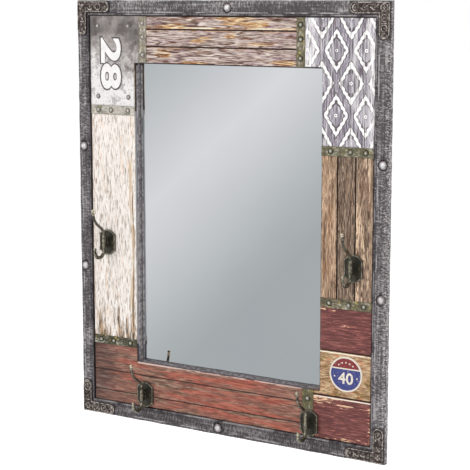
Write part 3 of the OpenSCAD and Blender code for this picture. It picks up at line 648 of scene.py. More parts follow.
def flaking_white_paint(name, seed, settings):
    """White paint on an upright board, with a tan stripe and a peeled foot."""
    wood = Wood(name, seed, "Z", roughness=0.7)
    paint = settings.white
    low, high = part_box("white_board")
    ladder = (
        srgb(160, 140, 124), srgb(230, 220, 209), paint, shade(paint, 1.04), shade(paint, 1.06)
    )
    value = wood.fibres(ladder, across=620, along=60, warp=0.4, spread=1.45)
    wood.wash(wood.patches(100, 16, 3, 0.54, 0.62), srgb(252, 242, 234))
    wood.cracked(srgb(132, 112, 96), srgb(255, 253, 250), amount=0.7, along=8, across=130)
    wood.coat(wood.patches(300, 36, 45, 0.585, 0.62), srgb(150, 134, 120), 0.75)
    # The tan stripe beside the opening starts below the top, with a dark crack inside it.
    wave = wood.times(wood.less(wood.grain(50, 5, 2), 0.5), 0.016)
    across = wood.add(wood.x, wave)
    stripe_x = high.x - 10 * MM
    below = wood.mask(wood.z, 112 * MM, 96 * MM)
    ragged = wood.times(below, wood.patches(260, 14, 1, 0.44, 0.52))
    stripe = wood.times(wood.band(across, stripe_x, 5 * MM, 3.4 * MM), ragged)
    wood.coat(stripe, srgb(204, 176, 140), 0.8)
    crack = wood.band(across, stripe_x + 3 * MM, 1.3 * MM, 0.7 * MM)
    long_crack = wood.times(below, wood.patches(60, 7, 33, 0.42, 0.50))
    wood.coat(wood.times(crack, long_crack), srgb(112, 82, 60), 0.85)
    # Peeled strips that rise from the strap at the foot.
    rise = wood.less(wood.z, low.z)
    reach = wood.times(wood.grain(110, 0.6, 8, 3, 0.75), 0.42)
    peel = wood.mask(wood.less(wood.less(reach, 0.168), rise), 0, 0.010)
    bare = wood.mix(wood.mask(value, 0.46, 0.54), srgb(66, 50, 36), srgb(184, 150, 112))
    wood.coat(wood.times(peel, wood.patches(190, 14, 19, 0.44, 0.50)), bare, 0.9)
    edge = wood.mask(wood.less(wood.x, low.x), 8 * MM, 0)
    wood.coat(edge, srgb(224, 190, 168), 0.35)
    wood.joints(srgb(120, 104, 98), low=0.60, amount=0.6, arris=srgb(255, 254, 252))
    wood.sides(srgb(176, 176, 180))
    return wood.finish(value, 0.6 * MM)


def nearest_middle(finish, value, origin, pitch, shift):
    """How far a value lies from the nearest of evenly spaced middles."""
    turns = finish.add(finish.over(finish.less(value, origin), pitch), shift)
    part = finish.less(turns, finish.maths("ROUND", turns))
    return finish.times(finish.plain(part), pitch)


def diamond_pattern(name, seed, settings):
    """White wash with a woven-look diamond pattern in violet and grey."""
    wood = Wood(name, seed, "Z", roughness=0.7)
    pitch_x, pitch_z = 56 * MM, 111 * MM
    centre_x, centre_z = 251 * MM, 260 * MM
    half_w, half_h, bow = 23.5 * MM, 37.5 * MM, 1.04
    drifted = wood.node("SeparateXYZ", Vector=wood.warped(wood.place, 40, 3.4 * MM)).outputs
    x, z = drifted[0], drifted[2]

    rings, dots = [], []
    for shift in (0, 0.5):
        across = nearest_middle(wood, x, centre_x, pitch_x, shift)
        up = nearest_middle(wood, z, centre_z, pitch_z, shift)
        wide = wood.maths("POWER", wood.over(across, half_w), bow)
        tall = wood.maths("POWER", wood.over(up, half_h), bow)
        rings.append(wood.maths("POWER", wood.add(wide, tall), 1 / bow))
        dots.append(wood.far(across, up))
    ring = wood.least(*rings)
    dot = wood.least(*dots)
    between = wood.off(rings[0], rings[1])
    wave = wood.maths("SINE", wood.times(z, math.tau / (8.6 * MM)))
    inner = wood.add(ring, wood.times(wave, 0.045))
    outer = wood.less(ring, wood.times(wave, 0.032))

    wash, violet = srgb(250, 247, 248), settings.violet
    dark = srgb(74, 64, 72)
    streak = wood.noise(wood.warped(wood.run(480, 40), 0.5, 0.4), 4, 0.62)
    dye = wood.ramp(streak, [
        (0.40, shade(violet, 0.45)), (0.47, shade(violet, 0.85)), (0.52, violet),
        (0.61, blended(violet, wash, 0.5)),
    ])
    wood.tone = wood.ramp(streak, [
        (0.38, blended(violet, wash, 0.35)), (0.45, blended(violet, wash, 0.80)), (0.51, wash),
    ])
    wood.coat(wood.mask(between, 0.95, 0.40), dye)
    crossing = wood.times(wood.mask(between, 0.42, 0), wood.mask(ring, 1.45, 1.1))
    wood.wash(crossing, srgb(170, 160, 176))
    wood.coat(wood.band(outer, 1.05, 0.085, 0.03), dark, 0.8)
    wood.coat(wood.mask(outer, 1.00, 0.97), srgb(254, 252, 250))
    wood.coat(wood.band(inner, 0.68, 0.085, 0.03), dark, 0.9)
    wood.coat(wood.mask(inner, 0.65, 0.62), dye)
    far = wood.mask(wood.less(dot, 15 * MM), 0, 3 * MM)
    tip = wood.times(wood.band(inner, 0.60, 0.09, 0.03), far)
    wood.coat(tip, dark, 0.9)
    wood.coat(wood.band(dot, 3.9 * MM, 1 * MM, 0.4 * MM), dark, 0.6)
    wood.coat(wood.mask(dot, 3.5 * MM, 3 * MM), srgb(254, 252, 252))
    wood.coat(wood.mask(dot, 1.5 * MM, 1.1 * MM), shade(violet, 0.4))
    # The pattern is rubbed thin beside the border and beside the strap.
    edge_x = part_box("pattern_board")[1].x
    right = wood.mask(wood.x, edge_x - 19 * MM, edge_x - 5 * MM)
    left = wood.mask(wood.x, OPEN_X - 4 * MM, OPEN_X - 20 * MM)
    sound = wood.mask(streak, 0.58, 0.44)
    rubbed = wood.times(wood.most(right, left), sound)
    wood.coat(rubbed, wash, 0.9)
    wood.cracked(
        srgb(100, 88, 90), srgb(255, 254, 252), amount=0.65, along=3, width=0.016, across=70
    )
    wood.joints(srgb(96, 86, 84), low=0.55, amount=0.7)
    # A dark line of painted shadow stands over the opening.
    lip = wood.times(
        wood.mask(wood.z, OPEN_Z + 2.2 * MM, OPEN_Z + 1.2 * MM),
        wood.mask(wood.x, OPEN_X - 1 * MM, OPEN_X - 3 * MM),
    )
    wood.coat(lip, srgb(52, 42, 40), 0.9)
    wood.sides(srgb(110, 104, 104))
    return wood.finish(streak, 0.5 * MM)


def near_brackets(finish):
    """How far a point of the border lies outside the nearest corner bracket."""
    x, z = finish.plain(finish.x), finish.plain(finish.z)
    arms = []
    for size_x, size_z in ((BRACKET_LEVEL, BRACKET_W), (BRACKET_W, BRACKET_UPRIGHT)):
        gap_x = finish.less(finish.off(x, EDGE_X - BRACKET_INSET - size_x / 2), size_x / 2)
        gap_z = finish.less(finish.off(z, EDGE_Z - BRACKET_INSET - size_z / 2), size_z / 2)
        arms.append(finish.most(gap_x, gap_z))
    return finish.least(*arms)


def hammered_pewter(name, seed, settings, look, stains, direction):
    """Gunmetal sheet with rows of fine ticks, dark rings round its studs, a painted shadow round
    its brackets and bare high spots.
    """
    metal = Finish(name, seed, direction, metallic=0.45, roughness=0.5)
    inner_from, specks, scratch_at, bright, gap_shade = look
    dark, light = shade(settings.dark, bright), shade(settings.light, bright)
    along_x = direction == "X"
    away = metal.plain(metal.z if along_x else metal.x)
    reach = metal.less(EDGE_Z if along_x else EDGE_X, away)
    lean = 0 if along_x else 14
    ticks = metal.warped(metal.run(120, 400, lean=lean), 0.5, 0.4)
    dimple = metal.node("TexVoronoi", Vector=ticks, Scale=1).outputs["Distance"]
    grain = metal.grain(360, 760, 2, lean=lean)
    brushed = metal.grain(300, 12, 5, 4, 0.65)
    cloud = metal.cloud(24, 4, 4)
    value = metal.add(metal.times(dimple, 0.20), metal.times(grain, 0.20))
    value = metal.add(value, metal.add(metal.times(brushed, 0.34), metal.times(cloud, 0.26)))
    metal.tone = metal.ramp(value, [
        (0.41, shade(dark, 0.84)), (0.48, dark), (0.54, light),
        (0.62, shade(settings.speck, bright)),
    ])
    # The inner part is washed darker: painted shade across the moulding's width.
    inner = metal.mask(reach, BORDER_W * inner_from, BORDER_W - 5 * MM)
    metal.wash(inner, srgb(222, 220, 225))
    # Bare specks and dark pits along the outer edge, the specks partly standing for painted
    # highlights there, and pale scratches along one line.
    fine = metal.grain(260, 520, 9, 2)
    belt = metal.mask(reach, 12 * MM, 0)
    start = 0.70 - 0.06 * specks
    bare = metal.mask(metal.add(fine, metal.times(belt, 0.10 * specks)), start, start + 0.05)
    metal.coat(bare, shade(settings.speck, 1.5), 0.85)
    pits = metal.mask(metal.add(fine, metal.times(belt, -0.05 * specks)), 0.30, 0.25)
    metal.coat(pits, srgb(34, 32, 36), 0.8)
    scratch = metal.band(reach, scratch_at * MM, 1.5 * MM, 0.6 * MM)
    broken = metal.patches(60, 22, 17, 0.47, 0.56, roughness=0.7)
    metal.coat(metal.times(scratch, broken), shade(settings.speck, 1.2), 0.75)
    # A broken painted highlight along the bead, in the speck colour.
    bead = metal.times(metal.marked(), metal.mask(cloud, 0.42, 0.56))
    metal.coat(bead, settings.speck, 0.6)
    stretch = (1, 1, 1.2) if along_x else (1.5, 1, 0.8)
    for x, z in stains:
        gap = metal.vector("SUBTRACT", metal.place, (x, BORDER_Y, z))[0]
        far = metal.vector("LENGTH", metal.vector("MULTIPLY", gap, stretch)[0])[1]
        ragged = metal.add(far, metal.times(metal.less(cloud, 0.5), 0.04))
        metal.coat(metal.mask(ragged, 12.5 * MM, 9 * MM), srgb(44, 40, 42), 0.6)
    shadow = metal.mask(near_brackets(metal), 3 * MM, 0.8 * MM)
    metal.coat(shadow, srgb(40, 35, 36), 0.7)
    # Painted shade in the gap along the inner edge.
    gap = metal.mask(reach, BORDER_W - 2 * MM, BORDER_W - 1.2 * MM)
    metal.coat(gap, srgb(36, 31, 32), gap_shade)
    rough = metal.add(metal.times(metal.mask(value, 0.7, 0.4), 0.3), 0.32)
    height = metal.add(dimple, metal.times(grain, 0.6))
    return metal.finish(height, 0.5 * MM, rough)


def relief_metal(name, seed, low_y, high_y, tones, metallic, roughness, grit):
    """Cast metal with painted shade in its hollows and a painted highlight on what stands highest.
    """
    metal = Finish(name, seed, metallic=metallic, roughness=roughness)
    grain = metal.cloud(210)
    # The share runs from painted shade at the low depth to a painted highlight at the high one.
    share = metal.over(metal.less(low_y, metal.y), low_y - high_y)
    share = metal.add(share, metal.times(metal.less(grain, 0.5), grit))
    metal.tone = metal.ramp(share, list(zip((0.08, 0.38, 0.72, 1), tones)))
    return metal.finish(grain, 0.3 * MM)


def bronze_rod(name, seed, settings):
    """Dark bronze, cream at its beads and tips, partly from rubbing and partly as a painted
    highlight.
    """
    metal = Finish(name, seed, metallic=0.75, roughness=0.20)
    grain = metal.cloud(200)
    metal.tone = metal.ramp(grain, [
        (0.40, settings.bronze), (0.52, shade(settings.bronze, 1.5)),
        (0.64, blended(settings.bronze, settings.rubbed, 0.30)),
    ])
    spots = metal.times(metal.marked(), metal.mask(grain, 0.38, 0.50))
    metal.coat(spots, settings.rubbed, 0.95)
    return metal.finish(grain, 0.2 * MM)


def strap_brass(name, seed, direction, tone, settings):
    """Tarnished brass with green stains and yellow specks."""
    metal = Finish(name, seed, direction, metallic=0.3, roughness=0.52)
    cloud = metal.cloud(60, 0, 5, 0.68)
    grain = metal.grain(360, 130, 2, 4, 0.7)
    value = metal.add(metal.times(cloud, 0.5), metal.times(grain, 0.5))
    metal.tone = metal.ramp(value, [
        (0.37, shade(tone, 0.40)), (0.45, shade(tone, 0.74)), (0.52, tone),
        (0.62, blended(tone, (1, 0.96, 0.86), 0.5)),
    ])
    metal.coat(metal.spots(85, 7, 0.54, 0.62), settings.patina, 0.6)
    metal.coat(metal.spots(150, 9, 0.61, 0.66, 3), srgb(206, 184, 104), 0.75)
    metal.coat(metal.marked(), shade(tone, 0.42), 0.5)
    return metal.finish(grain, 0.4 * MM)


def plate_paint(name, seed, settings):
    """Grey paint on steel, sound at its top and flaking to pale primer lower down."""
    steel = Finish(name, seed, metallic=0.15, roughness=0.5)
    low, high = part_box("number_plate")
    paint = settings.plate
    cloud = steel.cloud(22, 0, 5)
    fine = steel.cloud(120, 3, 5, 0.7)
    steel.tone = steel.ramp(cloud, [
        (0.38, shade(paint, 0.62)), (0.47, shade(paint, 0.90)), (0.58, shade(paint, 1.4)),
    ])
    drop = steel.over(steel.less(high.z, steel.z), high.z - low.z)
    slide = steel.times(steel.less(steel.x, (low.x + high.x) / 2), 1.2)
    flake = steel.add(steel.times(fine, 0.50), steel.times(drop, 0.66))
    flake = steel.less(steel.add(flake, steel.times(cloud, 0.45)), slide)
    steel.coat(steel.mask(flake, 0.64, 0.90), srgb(206, 200, 197), 0.9)
    steel.coat(steel.mask(flake, 0.84, 0.96), srgb(240, 236, 235), 0.95)
    steel.wash(steel.spots(48, 8, 0.54, 0.62), srgb(206, 202, 204))
    steel.coat(steel.spots(230, 6, 0.40, 0.36, 3), srgb(120, 112, 108), 0.5)
    steel.coat(steel.marked(), srgb(112, 104, 98), 0.35)
    return steel.finish(fine, 0.35 * MM)


def stencil_paint(name, seed, tone, chipped):
    """Stencil paint with small chips."""
    paint = Finish(name, seed, roughness=0.6)
    chip = paint.cloud(260, 0, 4, 0.7)
    paint.tone = paint.mix(paint.spots(60, 2, 0.35, 0.65, 3), shade(tone, 0.90), tone)
    paint.coat(paint.mask(chip, 0.62, 0.67), chipped)
    return paint.finish(chip, 0.2 * MM)


def badge_enamel(name, seed, settings):
    """Two fields of enamel with a cream line between them."""
    enamel = Finish(name, seed, roughness=0.3)
    low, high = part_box("enamel_badge")
    up = enamel.less(enamel.z, (low.z + high.z) / 2 + 10 * MM)
    upper = enamel.mask(up, -0.2 * MM, 0.2 * MM)
    enamel.tone = enamel.mix(upper, settings.navy, settings.maroon)
    enamel.coat(enamel.mask(enamel.plain(up), 1.3 * MM, 0.9 * MM), settings.cream)
    chip = enamel.cloud(300, 0, 4, 0.72)
    enamel.coat(enamel.mask(chip, 0.605, 0.64), blended(settings.navy, settings.cream, 0.7), 0.8)
    return enamel.finish(chip, 0.15 * MM)


def plain_metal(name, seed, tone, spots, metallic=0.85, roughness=0.35):
    """Worn bright metal with darker spots."""
    metal = Finish(name, seed, metallic=metallic, roughness=roughness)
    grain = metal.cloud(480, 0, 4, 0.65)
    clean = metal.spots(110, 1, 0.36, 0.62)
    metal.tone = metal.mix(clean, shade(tone, 1 - 0.6 * spots), tone)
    metal.coat(metal.mask(grain, 0.44, 0.30), shade(tone, 0.45))
    metal.coat(metal.marked(), shade(tone, 0.10), 0.9)
    return metal.finish(grain, 0.2 * MM)


def domed_metal(name, seed, tone, relief, contrast, glint, metallic=0.45):
    """A dome with a painted highlight on its crown and painted shade at its foot."""
    metal = Finish(name, seed, metallic=metallic, roughness=0.34)
    grain = metal.cloud(240)
    crown = metal.add(metal.marked("crown"), metal.times(metal.less(grain, 0.5), 0.8))
    foot = blended(tone, srgb(20, 18, 18), contrast)
    metal.tone = metal.ramp(crown, [
        (0.04, foot), (0.26, blended(tone, shade(tone, 0.22), contrast)),
        (0.48, blended(tone, shade(tone, 0.62), contrast)), (0.76, tone),
        (0.96, blended(tone, (1, 1, 1), glint)),
    ])
    return metal.finish(grain, relief)


def liner_pewter(name, seed, settings, level):
    """The liner's pewter: mid-grey, with a dark line where it meets the glass."""
    metal = Finish(name, seed, metallic=0.3, roughness=0.45)
    grain = metal.cloud(150)
    # Each side's level is painted shade.
    metal.tone = metal.ramp(grain, [
        (0.42, shade(settings.light, level)), (0.50, shade(settings.light, 1.6 * level)),
        (0.60, shade(settings.speck, 1.2 * level)),
    ])
    foot = metal.mask(metal.less(GLASS_Y, metal.y), 1.2 * MM, 0.6 * MM)
    metal.coat(foot, srgb(38, 36, 40), 0.9)
    step = metal.band(metal.y, LINER_FRONT_Y + 1.8 * MM, 0.5 * MM, 0.2 * MM)
    metal.coat(step, srgb(60, 56, 60), 0.6)
    return metal.finish(grain, 0.1 * MM)


def silvered_glass(name):
    """The mirror: a silvered face with a faint haze."""
    glass = Finish(name, metallic=1)
    haze = glass.cloud(5, 0, 3, 0.5)
    glass.tone = glass.mix(
        glass.mask(haze, 0.35, 0.65), srgb(229, 232, 233), srgb(232, 235, 235)
    )
    dull = glass.times(glass.mask(haze, 0.40, 0.70), 0.01)
    return glass.finish(roughness=glass.add(dull, 0.01))


def planed_pine(name, seed, direction, tone):
    """Planed timber with its growth rings."""
    wood = Wood(name, seed, direction, roughness=0.7)
    rings = wood.node(
        "TexWave", {"bands_direction": "Z" if direction == "X" else "X"},
        Vector=wood.warped(wood.run(55, 2), 0.8, 0.9), Scale=0.35, Distortion=2, Detail=3,
    ).outputs["Fac"]
    hair = wood.grain(620, 18, 3)
    wood.tone = wood.mix(wood.times(rings, 0.7), tone, shade(tone, 0.66))
    wood.coat(wood.mask(hair, 0.52, 0.38), shade(tone, 0.6), 0.5)
    return wood.finish(hair, 0.2 * MM)


def pressed_board(name, seed, tone, net=True):
    """Matted fibres, for hardboard with the fine net that its press leaves."""
    board = Finish(name, seed, roughness=0.82)
    fibre = board.cloud(150, 0, 6, 0.75)
    board.tone = board.mix(board.mask(fibre, 0.36, 0.66), shade(tone, 0.62), shade(tone, 1.18))
    board.coat(board.spots(8, 2, 0.42, 0.62), shade(tone, 0.72), 0.4)
    height = fibre
    if net:
        waves = [board.maths("SINE", board.times(axis, 1900)) for axis in (board.x, board.z)]
        height = board.add(fibre, board.times(board.add(*waves), 0.12))
    return board.finish(height, 0.3 * MM)


def carrier_edge(name, seed):
    """Plywood, stained grey along the edge that shows inside the opening."""
    wood = Wood(name, seed, roughness=0.75)
    plain = srgb(150, 130, 112)
    low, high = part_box("carrier_board")
    grain = wood.grain(260, 10, 0, 4)
    ply = wood.mix(wood.mask(grain, 0.38, 0.62), shade(plain, 0.6), plain)
    wood.tone = wood.ramp(wood.cloud(120, 2), [
        (0.42, srgb(138, 132, 136)), (0.50, srgb(178, 171, 174)), (0.58, srgb(204, 198, 200)),
    ])
    front = wood.mask(wood.less(wood.y, low.y), 1.3 * MM, 0.8 * MM)
    wood.coat(front, srgb(40, 36, 38), 0.9)
    back = wood.mask(wood.less(high.y, wood.y), 1.4 * MM, 0.8 * MM)
    wood.coat(back, srgb(66, 62, 66), 0.8)
    foot = wood.mask(wood.z, -OPEN_Z + 6 * MM, -OPEN_Z + 3 * MM)
    wood.wash(foot, srgb(186, 181, 186))
    # Painted shade darkens the edge along the top of the opening.
    top = wood.mask(wood.z, OPEN_Z - 8 * MM, OPEN_Z - 4 * MM)
    wood.coat(top, srgb(42, 36, 34), 0.9)
    gap_x = wood.less(wood.plain(wood.x), OPEN_X)
    gap_z = wood.less(wood.plain(wood.z), OPEN_Z)
    inside = wood.mask(wood.most(gap_x, gap_z), 1 * MM, 0.2 * MM)
    wood.tone = wood.mix(inside, ply, wood.tone)
    return wood.finish(grain, 0.2 * MM)


# ---- Modelling ----


def new_object(name, data):
    """Adds an object to the scene."""
    made = bpy.data.objects.new(name, data)
    bpy.context.scene.collection.objects.link(made)
    return made


def new_piece(name, mesh, material, slot, *nodes):
    """Adds a finished mesh as a piece that rides on the frame, in place of some nodes or none."""
    piece = new_object(name, mesh)
    mesh.materials.clear()
    mesh.materials.append(material)
    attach(piece, BODY)
    if nodes:
        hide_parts(*nodes)


def to_mesh(bm, name, smooth_angle=38):
    """Turns a bmesh into a mesh that is smooth except at its sharp edges."""
    bmesh.ops.recalc_face_normals(bm, faces=bm.faces[:])
    mesh = bpy.data.meshes.new(name)
    bm.to_mesh(mesh)
    bm.free()
    mesh.shade_smooth()
    mesh.set_sharp_from_angle(angle=math.radians(smooth_angle))
    return mesh


def dress(node, material):
    """Gives a CAD node its finish."""
    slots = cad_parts[node].data.materials
    slots.clear()
    slots.append(material)


def stray(place, amount, scale=42):
    """A small push that is the same wherever two pieces meet, and in every run."""
    spot = Vector(place) * scale
    return Vector([noise.noise(spot + shift) for shift in STRAY_SHIFTS]) * amount


def mark(mesh, name, share):
    """Stores a share from 0 to 1 for each point of a mesh, for its finish to read."""
    stored = mesh.attributes.new(name, "FLOAT", "POINT")
    for vertex, value in zip(mesh.vertices, stored.data):
        value.value = max(0, min(1, share(vertex.co)))


def mark_margin(mesh, node, width):
    """Marks how near each point lies to the outline, from 0 inside to 1 at the edge."""
    corners = [Vector(point) for point in outline_of(node)]
    sides = list(zip(corners, corners[1:] + corners[:1]))

    def nearness(co):
        point = Vector((co.x, co.z))
        gaps = []
        for start, end in sides:
            along = end - start
            share = max(0, min(1, (point - start).dot(along) / along.length_squared))
            gaps.append((point - start - along * share).length)
        return 1 - min(gaps) / width

    mark(mesh, "rim", nearness)


def outline_of(node):
    """A board's outline seen from the front, with the notch that the opening cuts out of it."""
    low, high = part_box(node)
    middle = (low + high) / 2
    notch = (math.copysign(OPEN_X, middle.x), math.copysign(OPEN_Z, middle.z))
    points = []
    for turn, (x, z) in enumerate(
        ((low.x, low.z), (high.x, low.z), (high.x, high.z), (low.x, high.z))
    ):
        if abs(x) < OPEN_X - MM and abs(z) < OPEN_Z - MM:
            stops = [(x, notch[1]), notch, (notch[0], z)]
            points += stops if turn % 2 == 0 else stops[::-1]
        else:
            points.append((x, z))
    return points


def moved_points(extruded):
    """The points that an extrusion made."""
    return [part for part in extruded["geom"] if isinstance(part, bmesh.types.BMVert)]


def bevelled(bm, edges, offset, segments=2, clamp=False):
    """Rounds some edges over."""
    bmesh.ops.bevel(
        bm, geom=edges, offset=offset, affect="EDGES", segments=segments, profile=0.5,
        material=-1, clamp_overlap=clamp,
    )


def plank(node, step, wobble, bevel, margin):
    """A board, strap or plate: a sawn outline with a worn front edge, as a bmesh."""
    low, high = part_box(node)
    bm = bmesh.new()
    face = bm.faces.new([bm.verts.new((x, low.y, z)) for x, z in outline_of(node)])
    for edge in bm.edges[:]:
        cuts = max(1, int(edge.calc_length() / step))
        bmesh.ops.bisect_edges(bm, edges=[edge], cuts=cuts)
    for vertex in bm.verts:
        push = stray(vertex.co, wobble)
        vertex.co += Vector((push.x, 0, push.z))
    bmesh.ops.inset_region(
        bm, faces=[face], thickness=margin, use_boundary=True, use_even_offset=True
    )
    grown = bmesh.ops.extrude_face_region(bm, geom=bm.faces[:])
    bmesh.ops.translate(bm, vec=(0, high.y - low.y, 0), verts=moved_points(grown))
    rim = [
        edge for edge in bm.edges
        if all(abs(v.co.y - low.y) < TOUCH for v in edge.verts)
        and any(abs(f.normal.y) < 0.5 for f in edge.link_faces)
    ]
    bevelled(bm, rim, bevel)
    return bm


def board_piece(node, material, slot, settings):
    """A front board, cut round the opening where it meets it."""
    bm = plank(node, settings.step, settings.wobble, settings.bevel, settings.margin)
    mesh = to_mesh(bm, node)
    mark_margin(mesh, node, settings.margin)
    new_piece(node + "_worn", mesh, material, slot, node)


def moulding(profile, run, outer, turn, step, wobble):
    """One mitred side of a frame. The profile gives the reach from its outer edge, and depth."""
    bm = bmesh.new()
    bm.faces.new([bm.verts.new((-run / 2, depth, outer - reach)) for reach, depth in profile])
    grown = bmesh.ops.extrude_face_region(bm, geom=bm.faces[:])
    bmesh.ops.translate(bm, vec=(run, 0, 0), verts=moved_points(grown))
    long_edges = [e for e in bm.edges if abs(e.verts[0].co.x - e.verts[1].co.x) > run / 2]
    bmesh.ops.subdivide_edges(bm, edges=long_edges, cuts=int(run / step), use_grid_fill=True)
    for side in (-1, 1):
        cut = bmesh.ops.bisect_plane(
            bm, geom=bm.verts[:] + bm.edges[:] + bm.faces[:], clear_outer=True,
            plane_co=(side * run / 2, 0, outer), plane_no=(side, 0, -1),
        )
        rim = [part for part in cut["geom_cut"] if isinstance(part, bmesh.types.BMEdge)]
        bmesh.ops.holes_fill(bm, edges=rim, sides=0)
    bmesh.ops.transform(bm, matrix=Matrix.Rotation(turn, 4, "Y"), verts=bm.verts[:])
    for vertex in bm.verts:
        vertex.co += stray(vertex.co, wobble)
    return bm


def arc(centre, radius, start, end, count):
    """Points along an arc, in degrees, both ends included."""
    turns = [math.radians(start + (end - start) * i / (count - 1)) for i in range(count)]
    return [(centre[0] + radius * math.cos(a), centre[1] + radius * math.sin(a)) for a in turns]


def linked(seeds):
    """All the points that hang together with some points."""
    found, queue = dict.fromkeys(seeds), list(seeds)
    while queue:
        for edge in queue.pop().link_edges:
            for vertex in edge.verts:
                if vertex not in found:
                    found[vertex] = None
                    queue.append(vertex)
    return list(found)


def edges_at(verts):
    """The edges that meet at some points, each once and always in the same order."""
    return list(dict.fromkeys(edge for vertex in verts for edge in vertex.link_edges))


def lathe(bm, profile, place, segments):
    """Spins a profile of radius and height into a closed shape that stands on the front."""
    verts = [bm.verts.new((radius, 0, height)) for radius, height in profile]
    edges = [bm.edges.new(pair) for pair in zip(verts, verts[1:])]
    bmesh.ops.spin(
        bm, geom=verts + edges, cent=(0, 0, 0), axis=(0, 0, 1), angle=math.tau,
        steps=segments, use_merge=True,
    )
    ring = linked(verts)
    bmesh.ops.remove_doubles(bm, verts=ring, dist=TOUCH)
    ring = [v for v in ring if v.is_valid]
    facing = Matrix.Translation(place) @ Matrix.Rotation(math.pi / 2, 4, "X")
    bmesh.ops.transform(bm, matrix=facing, verts=ring)
    return ring


def dome(radius, height, count):
    """A profile of a low dome on a flat base, from its middle out and back."""
    ball = (radius**2 + height**2) / (2 * height)
    top = math.asin(min(1, radius / ball))
    turns = [top * i / count for i in range(count + 1)]
    curve = [(ball * math.sin(a), ball * math.cos(a) - ball + height) for a in turns]
    return [(0, height)] + curve[1:] + [(0, -0.2 * MM)]


def solid_outline(bm, points, low_y, high_y):
    """Stands an outline out from one depth to another, and returns its front face."""
    face = bm.faces.new([bm.verts.new((x, low_y, z)) for x, z in points])
    grown = bmesh.ops.extrude_face_region(bm, geom=[face])
    bmesh.ops.translate(bm, vec=(0, high_y - low_y, 0), verts=moved_points(grown))
    return next(part for part in grown["geom"] if isinstance(part, bmesh.types.BMFace))


def sink(bm, face, width, drop):
    """Sinks the middle of a face and leaves a rim round it."""
    bmesh.ops.inset_region(bm, faces=[face], thickness=width, use_even_offset=True)
    sunk = bmesh.ops.extrude_discrete_faces(bm, faces=[face])["faces"][0]
    bmesh.ops.translate(bm, vec=(0, drop, 0), verts=list(sunk.verts))


def soften(bm, offset, angle=50):
    """Bevels every edge that is sharper than an angle."""
    bm.normal_update()
    limit = math.radians(angle)
    sharp = [e for e in bm.edges if len(e.link_faces) == 2 and e.calc_face_angle(0) > limit]
    bevelled(bm, sharp, offset, clamp=True)


def block(bm, size, turn=Matrix(), middle=(0, 0, 0)):
    """A box of a set size, turned and moved, and its points."""
    verts = bmesh.ops.create_cube(bm, size=1)["verts"]
    place = Matrix.Translation(middle) @ turn @ Matrix.Diagonal((*size, 1))
    bmesh.ops.transform(bm, matrix=place, verts=verts)
    return verts


def span(verts):
    """The lowest and highest corners of some points."""
    places = [v.co for v in verts]
    return Vector(map(min, *places)), Vector(map(max, *places))


def plain_number(text, centre, size, front_y, thickness, grow, turned):
    """A plain number as a mesh of a set size that stands on the front."""
    curve = bpy.data.curves.new("number", "FONT")
    curve.body = text
    curve.extrude = thickness
    curve.offset = grow
    curve.resolution_u = 4
    letter = new_object("number", curve)
    bpy.context.view_layer.update()
    graph = bpy.context.evaluated_depsgraph_get()
    mesh = bpy.data.meshes.new_from_object(letter.evaluated_get(graph))
    bpy.data.objects.remove(letter)
    low, high = span(mesh.vertices)
    own = high - low
    fit = Matrix.Diagonal((size[0] / own.x, size[1] / own.y, thickness / own.z, 1))
    spin = Matrix.Rotation(-math.pi / 2 if turned else 0, 4, "Z")
    stand = Matrix.Rotation(math.pi / 2, 4, "X")
    place = Matrix.Translation((centre[0], front_y + thickness / 2, centre[1]))
    mesh.transform(place @ stand @ spin @ fit @ Matrix.Translation(-(low + high) / 2))
    return mesh


def covers(node, x, z):
    """Whether a CAD node's box lies over a place on the front."""
    low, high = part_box(node)
    return low.x < x < high.x and low.z < z < high.z


def islands(node):
    """The middle, seen from the front, of each separate solid in a CAD node."""
    bm = bmesh.new()
    bm.from_mesh(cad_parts[node].data)
    bmesh.ops.remove_doubles(bm, verts=bm.verts[:], dist=TOUCH)
    seen, found = set(), []
    for vertex in bm.verts:
        if vertex not in seen:
            group = linked([vertex])
            seen.update(group)
            low, high = span(group)
            found.append(((low.x + high.x) / 2, low.y, (low.z + high.z) / 2))
    bm.free()
    return sorted(found)


# ---- Operators, one for each group of pieces ----


